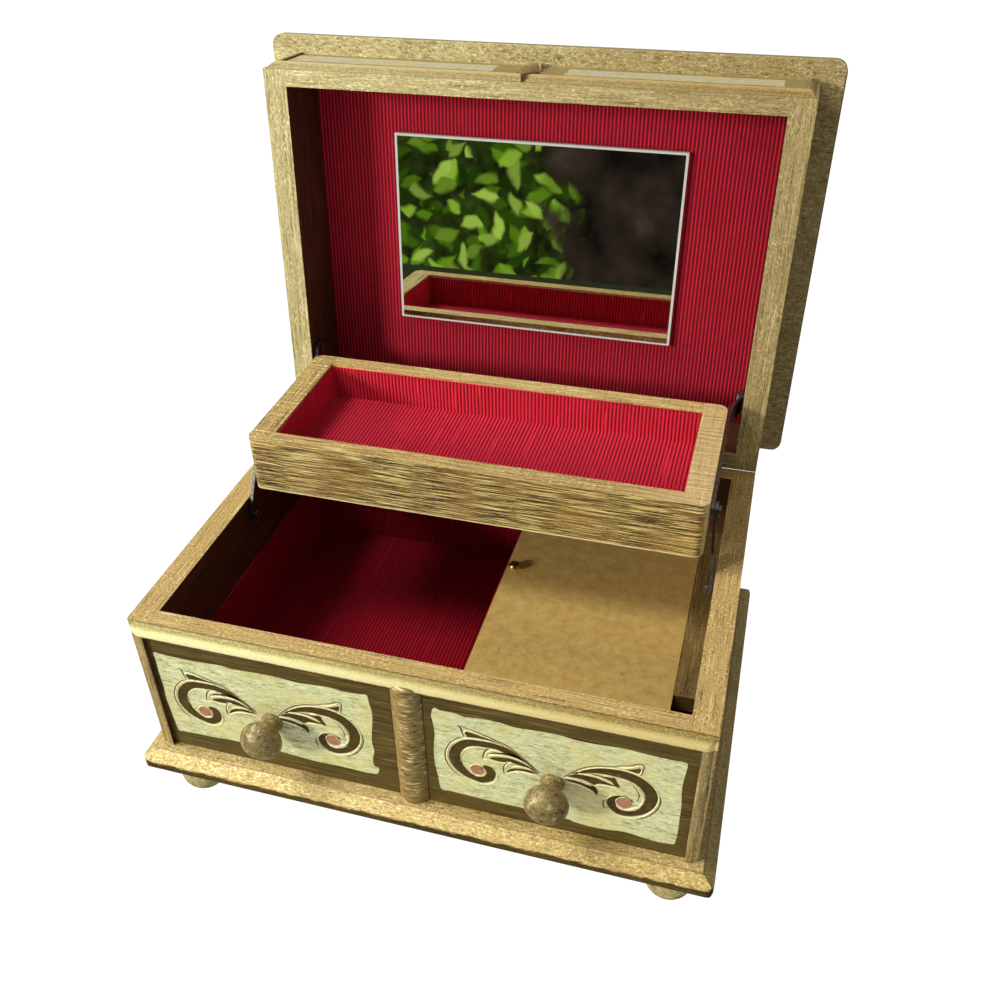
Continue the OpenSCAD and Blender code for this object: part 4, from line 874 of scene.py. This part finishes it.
def ornament(prefix, body, pairs, fields):
    """Pale fields, and the scroll pairs on them, as one piece for each colour."""
    pale, dark, cream, line, eye = (Layer() for _ in range(5))
    for place, outline in fields:
        pale.fill(place, outline, FIELD_H)
    for place in pairs:
        scrolls(place, dark, cream, line, eye)
    piece(prefix + "_field", pale.v, pale.f, field_paint[body], body, False)
    if not pairs:
        return
    for name, layer, tones in (("dark", dark, CARVED), ("cream", cream, CREAM),
                               ("line", line, LINE), ("eye", eye, EYE)):
        m = flat_paint(f"{prefix}_{name}_paint", body, tones, (0.5, 0.7, 0.7), 0.9, 0.45, 0.12)
        raised = name in ("cream", "line")
        piece(f"{prefix}_{name}", layer.v, layer.f, m, body, raised)


# The front panels' face, and how far the left pair of scrolls lies from the right one
FACE = 1.8
PAIR_X, PAIR_Z = 113, 0.7


def front_at(x, h, z):
    return at(x, FACE - h, z)


def left_pair_at(x, h, z):
    return at(x - PAIR_X, FACE - h, z - PAIR_Z)


ornament("front", "case", [front_at, left_pair_at], [(front_at, LEFT_FIELD), (front_at, RIGHT_FIELD)])

# Lid: pale strips on its front
STRIP_GAP_LOW, STRIP_GAP_TOP = 4.5, 4
lo, hi = shut_box("lid_right_panel", "lid")
lid_face = lo.y


def lid_front_at(x, h, z):
    return lid_at(x, lid_face - h, z)


strips = [(lid_front_at, rough_frame(x0, x1, lo.z + STRIP_GAP_LOW, hi.z - STRIP_GAP_TOP, seed))
          for x0, x1, seed in ((-104.3, -16.5, 3), (13.6, 96.8, 5))]
ornament("lid_front", "lid", [], strips)

# Lid: a painted field with two pairs of scrolls on its top, larger than those in front
TOP_MARGIN = 8
TOP_SCALE = 1.25
TOP_ROW = 16
SCROLLS_X, SCROLLS_Z = 54.8, -40
lo, hi = shut_box("lid_field", "lid")
top_z = hi.z
mid_x, mid_y = (lo.x + hi.x) / 2, (lo.y + hi.y) / 2


def top_at(x, h, z):
    return lid_at(mid_x + x, mid_y + z, top_z + h)


def top_pair(row, flip):
    """Place for a pair of scrolls with its middle in a row, turned round where flip is -1."""
    def place(x, h, z):
        return lid_at(mid_x + (x - SCROLLS_X) * TOP_SCALE * flip,
                      mid_y + row + (z - SCROLLS_Z) * TOP_SCALE * flip, top_z + h)
    return place


top_field = rough_frame(lo.x - mid_x + TOP_MARGIN, hi.x - mid_x - TOP_MARGIN,
                        lo.y - mid_y + TOP_MARGIN, hi.y - mid_y - TOP_MARGIN, 11)
ornament("lid_top", "lid", [top_pair(TOP_ROW, 1), top_pair(-TOP_ROW, -1)], [(top_at, top_field)])


def divider(name, node):
    """Half-round divider of rough turned wood, ribbed across, with a rounded upper end."""
    rows, cols = 190, 22
    top_gap, rounding = 0.2, 2.2
    lo, hi = shut_box(node)
    half, rise = (hi.x - lo.x) / 2, FACE - lo.y
    r = (half * half + rise * rise) / (2 * rise)
    spread = math.asin(half / r)
    top = hi.z - top_gap
    verts, faces = [], []
    for i in range(rows + 1):
        z = lo.z + (top - lo.z) * i / rows
        end = min(1.0, (top - z) / rounding)
        shrink = math.sqrt(max(0.0, 1 - (1 - end) ** 2))
        for k in range(cols + 1):
            a = spread * (2 * k / cols - 1)
            rough = (0.16 * noise.noise(Vector((1.2 * math.sin(a), z * 2.6, 2)))
                     + 0.12 * noise.noise(Vector((a * 9, z * 1.1, 5))))
            # The sides keep to the panel, so they aren't rough
            rr = r + (rough - 0.14) * min(1.0, 3 * (1 - abs(a) / spread))
            y = lo.y + r - rr * math.cos(a)
            if end < 1:
                y = FACE - (FACE - y) * shrink
            x = (lo.x + hi.x) / 2 + rr * math.sin(a) * (0.86 + 0.14 * shrink)
            verts.append(at(x, y, z))
    w = cols + 1
    for i in range(rows):
        for k in range(cols):
            b = i * w + k
            faces.append((b, b + 1, b + w + 1, b + w))
    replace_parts(piece(name, verts, faces, look[node], "case"), node)


divider("ribbed_divider", "front_divider")


# Studio: a floor and a world that are white for the camera, leaves for the mirror, two lights
def sheet_mesh(name, corners, mat):
    """A flat stage sheet."""
    me = bpy.data.meshes.new(name)
    me.from_pydata(corners, [], [tuple(range(len(corners)))])
    o = bpy.data.objects.new(name, me)
    bpy.context.scene.collection.objects.link(o)
    me.materials.append(mat)
    return o


def floor_paint():
    """White for the camera; the mirror and the metal see dark ground."""
    m = bpy.data.materials.new("floor")
    m.use_nodes = True
    t = m.node_tree
    last = t.nodes["Principled BSDF"]
    last.inputs["Base Color"].default_value = (0.9, 0.9, 0.9, 1)
    last.inputs["Roughness"].default_value = 0.9
    path = t.nodes.new("ShaderNodeLightPath")
    for tone, power, ray in (((0.03, 0.034, 0.014, 1), 1.0, "Is Glossy Ray"),
                             ((1, 1, 1, 1), 1.05, "Is Camera Ray")):
        e = t.nodes.new("ShaderNodeEmission")
        e.inputs["Color"].default_value = tone
        e.inputs["Strength"].default_value = power
        mix = t.nodes.new("ShaderNodeMixShader")
        t.links.new(path.outputs[ray], mix.inputs[0])
        t.links.new(last.outputs[0], mix.inputs[1])
        t.links.new(e.outputs[0], mix.inputs[2])
        last = mix
    t.links.new(last.outputs[0], t.nodes["Material Output"].inputs[0])
    return m


# Leaves, from the far ones to the near ones: scale, offset and tone
LEAVES = ((0.034, 0, rgb(40, 66, 12)), (0.036, 37, rgb(66, 100, 18)), (0.03, 91, rgb(104, 146, 28)),
          (0.032, 143, rgb(150, 190, 56)), (0.028, 211, rgb(176, 208, 84)))


def foliage():
    """What the mirror sees: green leaves before a dark room."""
    p = Nodes("foliage")
    room = ((0.35, rgb(20, 16, 12)), (0.6, rgb(52, 42, 34)), (0.8, rgb(84, 70, 58)))
    shade = ((0.35, rgb(18, 26, 6)), (0.6, rgb(44, 62, 14)), (0.8, rgb(84, 110, 34)))
    c = p.ramp(p.noise(0.02, detail=3), *room)
    # The bush stands on the left, with an uneven border
    uneven = p.math("MULTIPLY_ADD", p.noise(0.02), 120.0, -60.0)
    bush = p.step(p.math("ADD", p.part(p.at)[0], uneven), -95.0, -135.0)
    c = p.over(c, bush, 0.8, p.ramp(p.noise(0.05, detail=3), *shade))
    warp = p.noise(1.0, (0.03, 0.03, 0.03), output="Color")
    bent = p.vec("ADD", p.at, p.vec("MULTIPLY", warp, (26, 0, 26)))
    for scale, seed, tone in LEAVES:
        v = p.node("ShaderNodeTexVoronoi")
        flat = p.vec("MULTIPLY", p.vec("ADD", bent, (seed, 0.0, seed * 0.7)), (1, 0, 1))
        p.put(flat, v.inputs["Vector"])
        p.put(scale, v.inputs["Scale"])
        turn, light, chance = p.part(v.outputs["Color"])
        from_middle = p.vec("SUBTRACT", flat, v.outputs["Position"])
        lx, _, lz = p.part(p.turn(from_middle, p.math("MULTIPLY", turn, 6.28), "Y_AXIS"))
        # Pointed leaf: two arcs that meet at its ends
        arc = p.math("MULTIPLY", p.math("MULTIPLY", lx, lx), 0.0052)
        leaf = p.math("ADD", arc, p.math("MULTIPLY", p.math("ABSOLUTE", lz), 0.16))
        there = p.step(chance, 0.3, 0.34)
        mask = p.math("MULTIPLY", p.math("MULTIPLY", p.step(leaf, 1.25, 0.5), there), bush)
        green = p.ramp(light, (0.0, tuple(q * 0.45 for q in tone)), (1.0, tone))
        c = p.mix(mask, c, green)
    e = p.node("ShaderNodeEmission")
    p.put(c, e.inputs["Color"])
    p.put(e.outputs[0], p.t.nodes["Material Output"].inputs[0])
    return p.m


FLOOR = 4
CARD_LEFT, CARD_RIGHT, CARD_Y, CARD_FOOT, CARD_TOP = -1.4, 1.0, -0.5, 0.002, 1.2
sheet_mesh("floor", [(-FLOOR, -FLOOR, 0), (FLOOR, -FLOOR, 0), (FLOOR, FLOOR, 0), (-FLOOR, FLOOR, 0)],
           floor_paint())
card = sheet_mesh("foliage_card",
                  [(CARD_LEFT, CARD_Y, CARD_FOOT), (CARD_RIGHT, CARD_Y, CARD_FOOT),
                   (CARD_RIGHT, CARD_Y, CARD_TOP), (CARD_LEFT, CARD_Y, CARD_TOP)], foliage())
# Only the mirror and the metal see the card
card.visible_camera = False
card.visible_diffuse = False
card.visible_shadow = False
card.visible_transmission = False

AIM = Vector((0, 0, 0.1))


def area(name, loc, size, power, colour):
    """A square area light in metres and watts, aimed at the box."""
    d = bpy.data.lights.new(name, "AREA")
    d.energy = power
    d.size = size
    d.color = colour
    o = bpy.data.objects.new(name, d)
    bpy.context.scene.collection.objects.link(o)
    o.location = loc
    o.rotation_euler = (AIM - Vector(loc)).to_track_quat("-Z", "Y").to_euler()


area("key", (-2.1, -1.98, 0.98), 0.5, 74, (1.0, 0.98, 0.94))
area("top", (-1.0, -0.35, 1.6), 0.6, 22, (0.98, 0.98, 1.0))

# The world's strength as a light, and for the camera
AMBIENT, SEEN = 0.32, 1.0
world = bpy.data.worlds.new("world")
world.use_nodes = True
wt = world.node_tree
background = wt.nodes["Background"]
path = wt.nodes.new("ShaderNodeLightPath")
strength = wt.nodes.new("ShaderNodeMix")
strength.data_type = "FLOAT"
strength.inputs[2].default_value = AMBIENT
strength.inputs[3].default_value = SEEN
wt.links.new(path.outputs["Is Camera Ray"], strength.inputs[0])
wt.links.new(strength.outputs[0], background.inputs["Strength"])
background.inputs["Color"].default_value = (1, 1, 1, 1)
bpy.context.scene.world = world
bpy.context.scene.view_settings.view_transform = "Standard"
